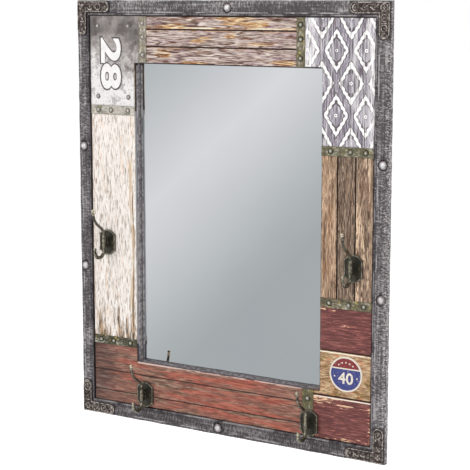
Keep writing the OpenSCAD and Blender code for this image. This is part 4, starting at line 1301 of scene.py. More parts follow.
class MIRROR_OT_border(bpy.types.Operator):
    """Builds the four mitred sides of the hammered pewter border"""

    bl_idname = "mirror.border"
    bl_label = "Border"

    # Each side's look: where its dark inner part starts, as a share of its width from the outer
    # edge, which is painted shade; how many bare specks it has, which partly stand for painted
    # highlights; how far in its long scratches run, in millimetres; how bright it is painted, as
    # painted light and shade for that side; and how dark the painted shade in the gap along its
    # inner edge is.
    LOOKS = {
        "top": (0.66, 0.4, 22, 1, 0.7),
        "right": (0.72, 1, 21, 1.05, 0.7),
        "bottom": (0.73, 0.15, 6, 0.78, 0.2),
        "left": (0.66, 0.5, 7.5, 0.96, 0.9),
    }
    # How thick the sheet is, which is hollow behind.
    SHELL = 3 * MM

    def profile(self, settings):
        """The moulding's section: reach from the outer edge, and depth."""
        bead, turn, width, front = settings.bead, settings.round_over, BORDER_W, BORDER_Y
        outer = arc((turn, front + turn), turn, 180, 270, 6)
        inner = arc((width - bead, front + bead), bead, 225, 360, 7)
        board_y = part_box("carrier_board")[0].y
        return [
            (0, BORDER_BACK_Y), *outer, (9 * MM, front - 0.1 * MM), (18 * MM, front + 0.15 * MM),
            (width - 2.9 * bead, front + 0.3 * MM), (width - 2.4 * bead, front + 1.1 * MM),
            *inner, (width, board_y), (self.SHELL, board_y), (self.SHELL, BORDER_BACK_Y),
        ]

    def execute(self, context):
        settings = context.scene.patchwork_mirror.border
        studs = islands("border_studs")
        profile = self.profile(settings)
        for index, (side, turn) in enumerate(SIDES.items()):
            level = side in LEVEL_SIDES
            run, outer = (2 * EDGE_X, EDGE_Z) if level else (2 * EDGE_Z, EDGE_X)
            bm = moulding(profile, run, outer, turn, settings.step, settings.wobble)
            mesh = to_mesh(bm, "border_" + side)

            def on_bead(co):
                reach = outer - abs(co.z if level else co.x)
                return 1 if reach > BORDER_W - 2.1 * settings.bead and co.y < FACE_Y else 0

            # The bead is marked for its painted highlight.
            mark(mesh, "rim", on_bead)
            stains = [(x, z) for x, _, z in studs if covers("border_" + side, x, z)]
            metal = hammered_pewter(
                "pewter_" + side, 3 * index, settings, self.LOOKS[side], stains,
                "X" if level else "Z",
            )
            new_piece("border_hammered_" + side, mesh, metal, "pewter", "border_" + side)
        return {"FINISHED"}


class MIRROR_OT_brackets(bpy.types.Operator):
    """Builds the pressed corner brackets, with their rims, rings, petals and bars"""

    bl_idname = "mirror.brackets"
    bl_label = "Corner brackets"

    # What stands on each bracket: a kind, its place from the outer corner, its size and its turn.
    RELIEF = {
        "top_left": (
            ("bar", 6, 6, 11, 45), ("arch", 12, 12, 6, -135), ("arch", 29, 9.5, 6, 90),
            ("boss", 29, 9.5, 2.4, 0), ("ring", 47, 9.5, 5.6, 0), ("arch", 65, 9.5, 6.6, 0),
            ("bar", 7, 25, 10, 0), ("bar", 10, 31, 13, 50), ("bar", 11, 37, 10, 0),
            ("boss", 9.5, 43, 2, 0), ("arch", 9.5, 53, 6, 90),
        ),
        "top_right": (
            ("ring", 9.5, 9.5, 6.4, 0), ("bar", 9.5, 9.5, 8, 0), ("bar", 9.5, 9.5, 8, 90),
            ("bar", 24, 7, 12, 35), ("bar", 32, 11, 12, -35), ("bar", 42, 7, 12, 35),
            ("bar", 50, 12, 10, -35), ("arch", 62, 9.5, 6, 0), ("ring", 9.5, 27, 6, 0),
            ("bar", 9.5, 36, 12, 0), ("ring", 9.5, 44, 5.4, 0), ("arch", 9.5, 54, 6, 90),
        ),
        "bottom_left": (
            ("ring", 10, 10, 5, 0), ("ring", 27, 9.5, 5.6, 0), ("bar", 37, 9.5, 10, 90),
            ("ring", 48, 9.5, 5.8, 0), ("arch", 61, 9.5, 8, 0), ("bar", 9.5, 22, 12, 0),
            ("boss", 9.5, 30, 2.2, 0), ("ring", 9.5, 47, 6.4, 0), ("arch", 9.5, 51, 7.4, 90),
        ),
        "bottom_right": (
            ("petals", 9.5, 9.5, 6, 0), ("petals", 9.5, 25, 6, 45), ("petals", 25, 9.5, 5.6, 45),
            ("arch", 38, 12, 5, -90), ("arch", 49, 12, 5, -90), ("bar", 56, 9, 11, 90),
            ("arch", 64, 9.5, 6, 0), ("arch", 9.5, 38, 5.6, 90), ("ring", 9.5, 50, 5.4, 0),
        ),
    }

    # How high a bracket's rim and its sunk field stand, how wide the rim is, and how much
    # narrower a ridge's top is than its foot.
    TOP_Y, FIELD_Y, RIM_W = -2.2 * MM, -1 * MM, 1.5 * MM
    DRAFT = (0.86, 1, 0.86)

    def outline(self):
        """An L with a rounded end on each arm, from its outer corner."""
        half = BRACKET_W / 2

        def end(reach):
            """The end of an arm that runs along X, from its outer to its inner edge."""
            tip = arc((reach - half, half), half, -75, 75, 11)
            return [(reach - half, 0), *tip, (reach - half, BRACKET_W)]

        corner = arc((2 * MM, 2 * MM), 2 * MM, 180, 270, 4)
        upright = [(z, x) for x, z in reversed(end(BRACKET_UPRIGHT))]
        return [*corner, *end(BRACKET_LEVEL), (BRACKET_W, BRACKET_W), *upright]

    def ridge(self, bm, points):
        """A raised shape with a narrower top."""
        face = solid_outline(bm, points, self.FIELD_Y, self.TOP_Y)
        about = Matrix.Translation(-face.calc_center_median())
        bmesh.ops.scale(bm, vec=self.DRAFT, verts=list(face.verts), space=about)

    def ornament(self, bm, kind, x, z, size, turn):
        """One ornament of the relief."""
        turn_by = math.radians(turn)
        low, rise = self.FIELD_Y, self.FIELD_Y - self.TOP_Y
        if kind == "ring":
            turns = [math.pi * i / 6 for i in range(7)]
            wall = [(size - 1.1 * MM * math.cos(a), rise * math.sin(a)) for a in turns]
            lathe(bm, wall, (x, low, z), 20)
            lathe(bm, dome(size * 0.36, rise * 0.9, 4), (x, low, z), 12)
        elif kind == "boss":
            lathe(bm, dome(size, rise, 4), (x, low, z), 12)
        elif kind == "petals":
            lathe(bm, dome(size * 0.26, rise, 3), (x, low, z), 10)
            for quarter in range(4):
                angle = turn_by + quarter * math.pi / 2
                reach = size * 0.62
                place = (x + reach * math.cos(angle), low, z + reach * math.sin(angle))
                lathe(bm, dome(size * 0.40, rise * 0.9, 4), place, 12)
        elif kind == "bar":
            way = Vector((math.cos(turn_by), math.sin(turn_by)))
            side = Vector((-way.y, way.x)) * 1.3 * MM
            half = way * size / 2
            corners = (half * 0.9 + side * 0.6, half, half * 0.9 - side * 0.6, -side)
            points = [Vector((x, z)) + p for p in (*corners, *(-p for p in corners))]
            self.ridge(bm, [tuple(p) for p in points])
        else:
            outer = arc((x, z), size + 1.2 * MM, turn - 80, turn + 80, 11)
            inner = arc((x, z), size - 1.2 * MM, turn + 80, turn - 80, 11)
            self.ridge(bm, outer + inner)

    def bracket(self, relief):
        """One bracket, with its outer corner at the origin."""
        bm = bmesh.new()
        plate = solid_outline(bm, self.outline(), 0, self.TOP_Y)
        sink(bm, plate, self.RIM_W, self.FIELD_Y - self.TOP_Y)
        soften(bm, 0.3 * MM)
        for kind, x, z, size, turn in relief:
            self.ornament(bm, kind, x * MM, z * MM, size * MM, turn)
        return bm

    def execute(self, context):
        settings = context.scene.patchwork_mirror.border
        cast = settings.cast
        # From painted shade in the hollows to a painted highlight on the highest relief.
        tones = (srgb(58, 48, 45), shade(cast, 0.62), cast, srgb(206, 195, 188))
        metal = relief_metal(
            "pressed_pewter", 4, BORDER_Y - 0.7 * MM, BORDER_Y - 2.5 * MM, tones,
            metallic=0.4, roughness=0.42, grit=2.7,
        )
        for corner, relief in self.RELIEF.items():
            node = "corner_bracket_" + corner
            low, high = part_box(node)
            height, side = corner.split("_")
            corner_x = low.x if side == "left" else high.x
            corner_z = high.z if height == "top" else low.z
            bm = self.bracket(relief)
            place = Matrix.Translation((corner_x, BORDER_Y, corner_z))
            inward = (math.copysign(1, -corner_x), 1, math.copysign(1, -corner_z), 1)
            bmesh.ops.transform(bm, matrix=place @ Matrix.Diagonal(inward), verts=bm.verts[:])
            new_piece("bracket_" + corner, to_mesh(bm, node), metal, "bracket_pewter", node)
        dress("bracket_nails", plain_metal("nail_metal", 2, srgb(176, 168, 162), spots=0.6))
        return {"FINISHED"}


class MIRROR_OT_studs(bpy.types.Operator):
    """Builds the dome studs of the border, each on a washer dark with painted shade, with a painted
    highlight on the dome
    """

    bl_idname = "mirror.studs"
    bl_label = "Border studs"

    # A stud's section from its crown to its base, as radius and height in millimetres.
    SECTION = (
        (0, 4.5), (1.9, 4.4), (3.9, 3.95), (5.7, 3.2), (7.1, 2.1), (7.9, 1), (8.1, 0.3),
        (9.2, 0.25), (9.4, -0.4), (0, -0.4),
    )
    # Where a dome's painted highlight is brightest, from its middle, and how far it reaches.
    HIGHLIGHT_AT = Vector((1.8, 0, 0.6)) * MM
    HIGHLIGHT_REACH = 7 * MM

    def execute(self, context):
        settings = context.scene.patchwork_mirror.border
        bm = bmesh.new()
        section = [(radius * MM, height * MM) for radius, height in self.SECTION]
        centres = [Vector((x, 0, z)) for x, _, z in islands("border_studs")]
        for centre in centres:
            for vertex in lathe(bm, section, (centre.x, BORDER_Y, centre.z), 28):
                vertex.co += stray(vertex.co, 0.22 * MM, scale=190)
        mesh = to_mesh(bm, "studs", smooth_angle=50)

        def highlight_share(co):
            """The share of painted highlight: most beside the middle of the dome, none on its
            washer.
            """
            place = Vector((co.x, 0, co.z))
            far = min((place - centre - self.HIGHLIGHT_AT).length for centre in centres)
            return 1.40 - far / self.HIGHLIGHT_REACH if co.y < BORDER_Y - 0.35 * MM else 0

        mark(mesh, "crown", highlight_share)
        metal = domed_metal(
            "nickel_studs", 1, settings.stud, 0.2 * MM, contrast=1, glint=0.9, metallic=0.6
        )
        new_piece("border_dome_studs", mesh, metal, "nickel", "border_studs")
        return {"FINISHED"}


class MIRROR_OT_boards(bpy.types.Operator):
    """Builds the patchwork boards, each with its own wood and paint"""

    bl_idname = "mirror.boards"
    bl_label = "Boards"

    # Old orange paint on the top boards: its place along X, its share of the board's height,
    # and its reach along and across the board.
    STAINS = {
        "top_board_upper": ((20, 0.78, 66, 9), (62, 0.45, 26, 7), (-120, 0.25, 44, 4)),
        "top_board_middle": ((-54, 0.40, 34, 6), (12, 0.72, 12, 5), (70, 0.20, 30, 3)),
        "top_board_lower": ((-132, 0.62, 18, 8), (126, 0.20, 26, 5), (-60, 0.10, 40, 3)),
    }
    # How strong the cream crests of each right board are, and its cream strokes.
    CRESTS, STROKES = (0.75, 0.45, 0.55), (0.35, 0.40, 1)
    # The other boards, each with its finish, its seed and its slot.
    OTHERS = (
        ("red_board", "red_board_paint", barn_red_paint, 71, "dark_red_board"),
        ("corner_board", "corner_board_paint", scratched_red_paint, 83, "dark_red_board"),
        ("badge_board", "badge_board_wood", badge_board_wood, 90, "tan_board"),
        ("white_board", "white_board_paint", flaking_white_paint, 97, "worn_white_board"),
        ("pattern_board", "diamond_pattern", diamond_pattern, 101, "patterned_white_board"),
    )

    def execute(self, context):
        settings = context.scene.patchwork_mirror.boards
        for index, node in enumerate(TOP_BOARDS):
            wood = top_board_wood(node, 7 * index, settings, self.STAINS[node], index == 0)
            board_piece(node, wood, "grey_brown_board", settings)
        tones = (settings.inner, settings.middle, settings.outer)
        looks = zip(RIGHT_BOARDS, tones, self.CRESTS, self.STROKES)
        for index, (node, tone, crest, strokes) in enumerate(looks):
            wood = upright_wood(node + "_wood", 31 + 9 * index, tone, crest, strokes)
            board_piece(node, wood, "brown_board", settings)
        for index, node in enumerate(BOTTOM_BOARDS):
            paint = foot_board_paint(node, 50 + 6 * index, settings)
            board_piece(node, paint, "worn_red_board", settings)
        for node, name, finish, seed, slot in self.OTHERS:
            board_piece(node, finish(name, seed, settings), slot, settings)
        dress("plate_base_board", upright_wood("plate_base_wood", 110, settings.middle, 0.4, 0.1))
        return {"FINISHED"}


class MIRROR_OT_straps(bpy.types.Operator):
    """Builds the tarnished brass straps over the joints"""

    bl_idname = "mirror.straps"
    bl_label = "Straps"

    MARGIN = 2.2 * MM
    # How far a strap's face is dented, and how far it stands out over its joint.
    DENT = 0.25 * MM
    LIFT = 0.05 * MM

    def execute(self, context):
        settings = context.scene.patchwork_mirror.metal
        for index, (node, tone) in enumerate(STRAP_TONES.items()):
            low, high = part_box(node)
            direction = "X" if high.x - low.x > high.z - low.z else "Z"
            bm = plank(node, step=5 * MM, wobble=0.5 * MM, bevel=0.5 * MM, margin=self.MARGIN)
            for vertex in bm.verts:
                vertex.co.y += stray(vertex.co, self.DENT, scale=60).y - self.LIFT
            mesh = to_mesh(bm, node)
            mark_margin(mesh, node, self.MARGIN)
            brass = strap_brass(node + "_brass", 5 * index, direction, tone, settings)
            new_piece(node + "_worn", mesh, brass, "old_brass", node)
        return {"FINISHED"}


class MIRROR_OT_rivets(bpy.types.Operator):
    """Builds the rivet heads of the straps and of the number plate"""

    bl_idname = "mirror.rivets"
    bl_label = "Rivets"

    # The straps whose rivets are worn pale, and the radius of a head on each kind of ground.
    PALE = ("strap_top_left", "strap_left_upper")
    ON_STRAP, ON_BOTTOM_STRAP, ON_PLATE = 4.7 * MM, 5.2 * MM, 4 * MM
    HEAD_H = 1.9 * MM

    def head(self, bm, x, base_y, z, radius):
        """One head on its washer."""
        skirt = [(radius + 0.9 * MM, 0.15 * MM), (radius + 1.1 * MM, -0.3 * MM), (0, -0.3 * MM)]
        lathe(bm, dome(radius, self.HEAD_H, 6)[:-1] + skirt, (x, base_y, z), 20)

    def execute(self, context):
        settings = context.scene.patchwork_mirror.metal
        plate_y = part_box("number_plate")[0].y
        strap_heads, pale_heads, plate_heads = bmesh.new(), bmesh.new(), bmesh.new()
        for x, _, z in islands("rivets"):
            under = [name for name in STRAP_TONES if covers(name, x, z)]
            if under:
                heads = pale_heads if under[0] in self.PALE else strap_heads
                radius = self.ON_BOTTOM_STRAP if under[0] == "strap_bottom" else self.ON_STRAP
                self.head(heads, x, STRAP_Y, z, radius)
            else:
                self.head(plate_heads, x, plate_y, z, self.ON_PLATE)
        for bm, name, tone, base_y, nodes, contrast in (
            (strap_heads, "strap_rivets", settings.rivet, STRAP_Y, ("rivets",), 0.95),
            (pale_heads, "pale_rivets", settings.pale_rivet, STRAP_Y, (), 0.6),
            (plate_heads, "plate_rivets", shade(settings.plate, 1.6), plate_y, (), 0.55),
        ):
            mesh = to_mesh(bm, name, smooth_angle=50)
            # The crown share gives each head a painted highlight on top and painted shade at its
            # foot.
            mark(mesh, "crown", lambda co: (base_y - 0.1 * MM - co.y) / (1.8 * MM))
            metal = domed_metal(name + "_metal", 6, tone, 0.15 * MM, contrast, glint=0.5)
            new_piece(name, mesh, metal, "nickel", *nodes)
        return {"FINISHED"}


class MIRROR_OT_number_plate(bpy.types.Operator):
    """Builds the painted steel plate and the plain number stencilled on it"""

    bl_idname = "mirror.number_plate"
    bl_label = "Number plate"

    MARGIN = 3 * MM
    # The number's middle on the front. Its two layers, a grey outline under a white face, each
    # have a width and height, how far the strokes are grown, and how far they stand out.
    CENTRE = (-249 * MM, 282.5 * MM)
    OUTLINE = (102 * MM, 52 * MM), 0.055, 0.12 * MM
    FACE = (96 * MM, 46 * MM), 0.030, 0.34 * MM

    def execute(self, context):
        settings = context.scene.patchwork_mirror.metal
        node = "number_plate"
        front_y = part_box(node)[0].y
        bm = plank(node, step=6 * MM, wobble=0.4 * MM, bevel=0.4 * MM, margin=self.MARGIN)
        mesh = to_mesh(bm, "plate")
        mark_margin(mesh, node, self.MARGIN)
        steel = plate_paint("number_plate_paint", 12, settings)
        new_piece("number_plate_worn", mesh, steel, "worn_grey_plate", node)
        grey = stencil_paint("number_outline", 3, srgb(88, 82, 80), shade(settings.plate, 1.2))
        white = stencil_paint("number_white", 7, srgb(246, 244, 242), srgb(196, 190, 186))
        for name, paint, (size, grow, out) in (
            ("number_shadow", grey, self.OUTLINE), ("number_face", white, self.FACE),
        ):
            digits = plain_number(
                settings.number, self.CENTRE, size, front_y - out, 0.3 * MM, grow, turned=True
            )
            new_piece(name, digits, paint, "worn_grey_plate")
        return {"FINISHED"}


class MIRROR_OT_badge(bpy.types.Operator):
    """Builds the round enamel badge with its rim, dots and plain number"""

    bl_idname = "mirror.badge"
    bl_label = "Badge"

    ROUND = 64
    DOT_R, DOT_H = 1.6 * MM, 0.5 * MM
    NUMBER_DROP = 7 * MM
    NUMBER_SIZE = (29 * MM, 21 * MM)

    def execute(self, context):
        settings = context.scene.patchwork_mirror.metal
        low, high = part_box("enamel_badge")
        centre = ((low.x + high.x) / 2, high.y, (low.z + high.z) / 2)
        radius, top = (high.x - low.x) / 2, high.y - low.y
        bm = bmesh.new()
        pan = [
            (0, top * 0.75), (radius * 0.6, top * 0.72), (radius - 3.2 * MM, top * 0.6),
            (radius - 2.9 * MM, 0), (0, 0),
        ]
        lathe(bm, pan, centre, self.ROUND)
        enamel = badge_enamel("badge_enamel", 5, settings)
        new_piece("badge_field", to_mesh(bm, "badge_field"), enamel, "enamel", "enamel_badge")
        bm = bmesh.new()
        rim = [
            (radius - 3.4 * MM, 0), (radius - 3.2 * MM, top * 0.8), (radius - 2.2 * MM, top),
            (radius - 0.9 * MM, top), (radius - 0.1 * MM, top * 0.6), (radius, 0),
        ]
        lathe(bm, rim + rim[:1], centre, self.ROUND)
        dots = [(side * radius * 0.68, -5 * MM) for side in (-1, 1)]
        dots += arc((0, 0), radius * 0.66, 50, 130, 5)
        for x, z in dots:
            place = (centre[0] + x, centre[1] - top * 0.66, centre[2] + z)
            lathe(bm, dome(self.DOT_R, self.DOT_H, 3), place, 12)
        cream = stencil_paint("badge_cream", 9, settings.cream, srgb(186, 160, 142))
        new_piece("badge_lines", to_mesh(bm, "badge_lines"), cream, "enamel")
        number = plain_number(
            settings.badge_number, (centre[0], centre[2] - self.NUMBER_DROP), self.NUMBER_SIZE,
            centre[1] - top * 0.9, 0.5 * MM, 0.018, turned=False,
        )
        new_piece("badge_number", number, cream, "enamel")
        return {"FINISHED"}


class MIRROR_OT_hooks(bpy.types.Operator):
    """Builds the four cast double hooks"""

    bl_idname = "mirror.hooks"
    bl_label = "Hooks"

    # The plate: its height, half its straight sides, its thickness, how much wider its arches
    # are than its body, its rim, and how much its edges are rounded.
    PLATE_H = 49 * MM
    PLATE_SIDE = 17 * MM
    PLATE_T = 4.2 * MM
    ARCH_OVER = 1.5 * MM
    RIM_W, RIM_H = 2.4 * MM, 1.6 * MM
    ROUND = 0.55 * MM
    # The web between the plate and the rod.
    WEB_W, WEB_H, WEB_ROUND = 4.6 * MM, 21 * MM, 1.3 * MM
    # The rod's course: how far out it stands, half its straight part, its lower curl, and its
    # upper arm, which bends out, leans, and bends up again to its tip.
    OUT = 14 * MM
    HALF = 12 * MM
    CURL = 14.5 * MM
    BEND = 22 * MM
    LEAN = 56
    ARM = 12 * MM
    RETURN = 30 * MM
    TIP_LEAN = 12
    TIP = 10 * MM
    # The rod's radius at the lowest point of its curl.
    CURL_R = 3.2 * MM

    def ball(self, start, way, radius, neck, beads=()):
        """Rings of a ball and of the bead at its neck, from its far side on."""
        rings = []
        for i in range(7):
            turn = math.radians(180 - 22 * i)
            reach, size = radius * (1 + math.cos(turn)), max(0.02 * MM, radius * math.sin(turn))
            rings.append((start[0] + way[0] * reach, start[1] + way[1] * reach, size))
        for step, swell in beads:
            reach = 2 * radius + step * MM
            rings.append((start[0] + way[0] * reach, start[1] + way[1] * reach, neck * swell))
        return rings

    def route(self, settings):
        """The rod's middle line and radius, from the lower ball to the upper one.

        Each entry is the distance out from the board, the height and the radius.
        """
        rod, tip = settings.rod, settings.tip
        out, half, curl = self.OUT, self.HALF, self.CURL
        line = self.ball((out + 2 * curl, -half + 2 * tip), (0, -1), tip, rod * 0.7)
        for x, z in arc((out + curl, -half), curl, -14, -180, 15):
            line.append((x, z, rod * min(1, 0.74 + 0.3 * (-z - half) / curl)))
        line += [(out, z, rod * 1.08) for z in (-half * 0.5, 0, half * 0.5)]
        bend = arc((out + self.BEND, half), self.BEND, 180, 180 - self.LEAN, 9)
        line += [(x, z, rod * (1 - 0.02 * i)) for i, (x, z) in enumerate(bend)]
        lean = math.radians(self.LEAN)
        middle = (
            line[-1][0] + self.ARM * math.sin(lean) - self.RETURN * math.cos(lean),
            line[-1][1] + self.ARM * math.cos(lean) + self.RETURN * math.sin(lean),
        )
        back = arc(middle, self.RETURN, -self.LEAN, -self.TIP_LEAN, 9)
        line += [(x, z, rod * (0.82 - 0.015 * i)) for i, (x, z) in enumerate(back)]
        tip_lean = math.radians(self.TIP_LEAN)
        way = (math.sin(tip_lean), math.cos(tip_lean))
        start, reach = line[-1], self.TIP + tip
        end = (start[0] + way[0] * reach, start[1] + way[1] * reach)
        beads = ((0.4, 1), (1.3, 1.4), (2.4, 1.4), (3, 1))
        return line + self.ball(end, (-way[0], -way[1]), tip, rod * 0.68, beads)[::-1]

    def rod(self, bm, settings, place):
        """The rod, as rings bridged along its middle line."""
        line = self.route(settings)
        rings = []
        for index, (out, up, radius) in enumerate(line):
            before = line[max(0, index - 1)]
            after = line[min(len(line) - 1, index + 1)]
            way = Vector((0, before[0] - after[0], after[1] - before[1])).normalized()
            middle = Matrix.Translation((place.x, place.y - out, place.z + up))
            made = bmesh.ops.create_circle(
                bm, cap_ends=False, segments=settings.segments, radius=radius,
                matrix=middle @ way.to_track_quat("Z", "X").to_matrix().to_4x4(),
            )
            rings.append(edges_at(made["verts"]))
        for first, second in zip(rings, rings[1:]):
            bmesh.ops.bridge_loops(bm, edges=first + second)
        for end in (rings[0], rings[-1]):
            bmesh.ops.holes_fill(bm, edges=end, sides=0)

    def web(self, bm, place):
        """The short web that joins the rod to its plate."""
        size = (self.WEB_W, self.OUT + 1 * MM, self.WEB_H)
        verts = block(bm, size, middle=place - Vector((0, self.OUT / 2, 0)))
        bevelled(bm, edges_at(verts), self.WEB_ROUND, 3)

    def plate(self, bm, place, half_w):
        """The shouldered plate with its raised rim."""
        arch = half_w + self.ARCH_OVER
        middle = self.PLATE_H / 2 - arch
        shoulder = math.degrees(math.asin((self.PLATE_SIDE - middle) / arch))
        top = arc((0, middle), arch, shoulder, 180 - shoulder, 15)
        foot = arc((0, -middle), arch, 180 + shoulder, 360 - shoulder, 15)
        right = [(half_w, -self.PLATE_SIDE), (half_w, self.PLATE_SIDE)]
        left = [(-x, -z) for x, z in right]
        placed = [(place.x + x, place.z + z) for x, z in (*right, *top, *left, *foot)]
        face = solid_outline(bm, placed, place.y, place.y - self.PLATE_T)
        sink(bm, face, self.RIM_W, self.RIM_H)
        soften(bm, self.ROUND, 40)

    def rubbed(self, place, co):
        """How much cream a point of the rod takes, as rubbed wear and painted highlight: at its
        tip, at its lower ball and, most as painted highlight, on its crest.
        """
        out, up = place.y - co.y, co.z - place.z
        tip = (up - 55 * MM) / (8 * MM)
        ball = (out - 2 * self.CURL - self.OUT) / (3 * MM) if up < 0 else 0
        crest = (out - self.OUT - 1.4 * MM) / (2.4 * MM) if out < self.OUT + 4 * MM else 0
        return max(tip, ball, crest * 0.6)

    def execute(self, context):
        settings = context.scene.patchwork_mirror.hooks
        bronze, rubbed = settings.bronze, settings.rubbed
        # The plate runs from painted shade in its hollows to a painted highlight on its rim.
        tones = (
            shade(bronze, 0.85), shade(bronze, 1.05), blended(bronze, rubbed, 0.10),
            blended(bronze, rubbed, 0.42),
        )
        for index, node in enumerate(HOOKS):
            low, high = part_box(node)
            foot = self.HALF + self.CURL + self.CURL_R
            place = Vector(((low.x + high.x) / 2, high.y, low.z + foot))
            bm = bmesh.new()
            self.plate(bm, place, (high.x - low.x) / 2)
            metal = relief_metal(
                node + "_plate_bronze", 3 * index, high.y - 2.4 * MM, high.y - 4.6 * MM,
                tones, metallic=0.6, roughness=0.32, grit=2.1,
            )
            new_piece(node + "_plate", to_mesh(bm, node), metal, "dark_bronze", node)
            bm = bmesh.new()
            self.rod(bm, settings, place)
            self.web(bm, place)
            mesh = to_mesh(bm, node + "_rod", smooth_angle=60)
            mark(mesh, "rim", lambda co: self.rubbed(place, co))
            cast = bronze_rod(node + "_rod_bronze", 8 * index, settings)
            new_piece(node + "_rod", mesh, cast, "dark_bronze")
        return {"FINISHED"}


class MIRROR_OT_screws(bpy.types.Operator):
    """Builds the slotted screw heads of the hooks"""

    bl_idname = "mirror.screws"
    bl_label = "Hook screws"

    HEAD_R, HEAD_H = 2.7 * MM, 1.5 * MM
    SLOT = (4.2 * MM, 0.5 * MM, 0.6 * MM)
    SLOT_DEPTH = 0.28 * MM
    # The slots stand at different turns: the first one's, and the step from one to the next.
    FIRST_TURN, NEXT_TURN = 25, 47

    def execute(self, context):
        heads, slots = bmesh.new(), bmesh.new()
        for index, (x, front_y, z) in enumerate(islands("hook_screws")):
            lathe(heads, dome(self.HEAD_R, self.HEAD_H, 5), (x, front_y + self.HEAD_H, z), 18)
            turn = math.radians(self.FIRST_TURN + self.NEXT_TURN * index)
            middle = (x, front_y + self.SLOT_DEPTH, z)
            block(slots, self.SLOT, Matrix.Rotation(turn, 4, "Y"), middle)
        brass = plain_metal("screw_brass", 4, srgb(104, 92, 66), 0.7, metallic=0.8, roughness=0.36)
        mesh = to_mesh(heads, "heads")
        new_piece("hook_screw_heads", mesh, brass, "brass_screws", "hook_screws")
        dirt = plain_metal("slot_dirt", 5, srgb(34, 30, 26), 0.4, metallic=0, roughness=0.8)
        new_piece("hook_screw_slots", to_mesh(slots, "slots"), dirt, "brass_screws")
        return {"FINISHED"}


class MIRROR_OT_glass(bpy.types.Operator):
    """Finishes the glass and builds the stepped liner round it"""

    bl_idname = "mirror.glass"
    bl_label = "Glass and liner"

    # How bright the liner is painted on each side: painted shade, darkest along the top.
    PAINTED_SHADE_LEVELS = {"top": 0.35, "right": 1, "bottom": 0.62, "left": 1}
    # The liner's stepped face: each point's distance from the inner edge and depth behind the
    # front, in millimetres.
    STEPS = ((2.3, 0), (1.7, 0.3), (1.3, 1.6), (0.6, 1.9), (0.2, 3.3), (0, 3.5))

    def execute(self, context):
        settings = context.scene.patchwork_mirror.border
        dress("mirror_glass", silvered_glass("silvered_glass"))
        dress("packing_sheet", pressed_board("card", 3, srgb(176, 150, 112), net=False))
        dress("carrier_board", carrier_edge("carrier_plywood", 5))
        low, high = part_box("liner_top")
        outer_x, outer_z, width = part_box("liner_right")[1].x, high.z, high.z - low.z
        steps = [(width - x * MM, LINER_FRONT_Y + y * MM) for x, y in self.STEPS]
        profile = [(0, GLASS_Y), (0, LINER_FRONT_Y), *steps, (width, GLASS_Y)]
        for side, turn in SIDES.items():
            run, outer = (2 * outer_x, outer_z) if side in LEVEL_SIDES else (2 * outer_z, outer_x)
            bm = moulding(profile, run, outer, turn, step=20 * MM, wobble=0.1 * MM)
            mesh = to_mesh(bm, "liner_" + side, smooth_angle=20)
            metal = liner_pewter("liner_pewter_" + side, 11 + turn, settings, self.PAINTED_SHADE_LEVELS[side])
            new_piece("liner_stepped_" + side, mesh, metal, "liner_metal", "liner_" + side)
        return {"FINISHED"}


class MIRROR_OT_back(bpy.types.Operator):
    """Finishes the back frame, the back cover and the hanger plates"""

    bl_idname = "mirror.back"
    bl_label = "Back"

    ZINC_NODES = (
        "hanger_plate_left", "hanger_plate_right", "hanger_screws", "carrier_screws",
        "back_cover_screws",
    )

    def execute(self, context):
        pine = srgb(206, 172, 126)
        for index, side in enumerate(SIDES):
            direction = "X" if side in LEVEL_SIDES else "Z"
            dress("back_rail_" + side, planed_pine("pine_" + side, 11 * index, direction, pine))
        dress("rail_dowels", planed_pine("beech_dowel", 4, "Z", srgb(200, 166, 124)))
        dress("back_cover", pressed_board("hardboard", 8, srgb(128, 94, 62)))
        zinc = plain_metal("zinc", 9, srgb(176, 176, 172), 0.35, roughness=0.38)
        for node in self.ZINC_NODES:
            dress(node, zinc)
        return {"FINISHED"}


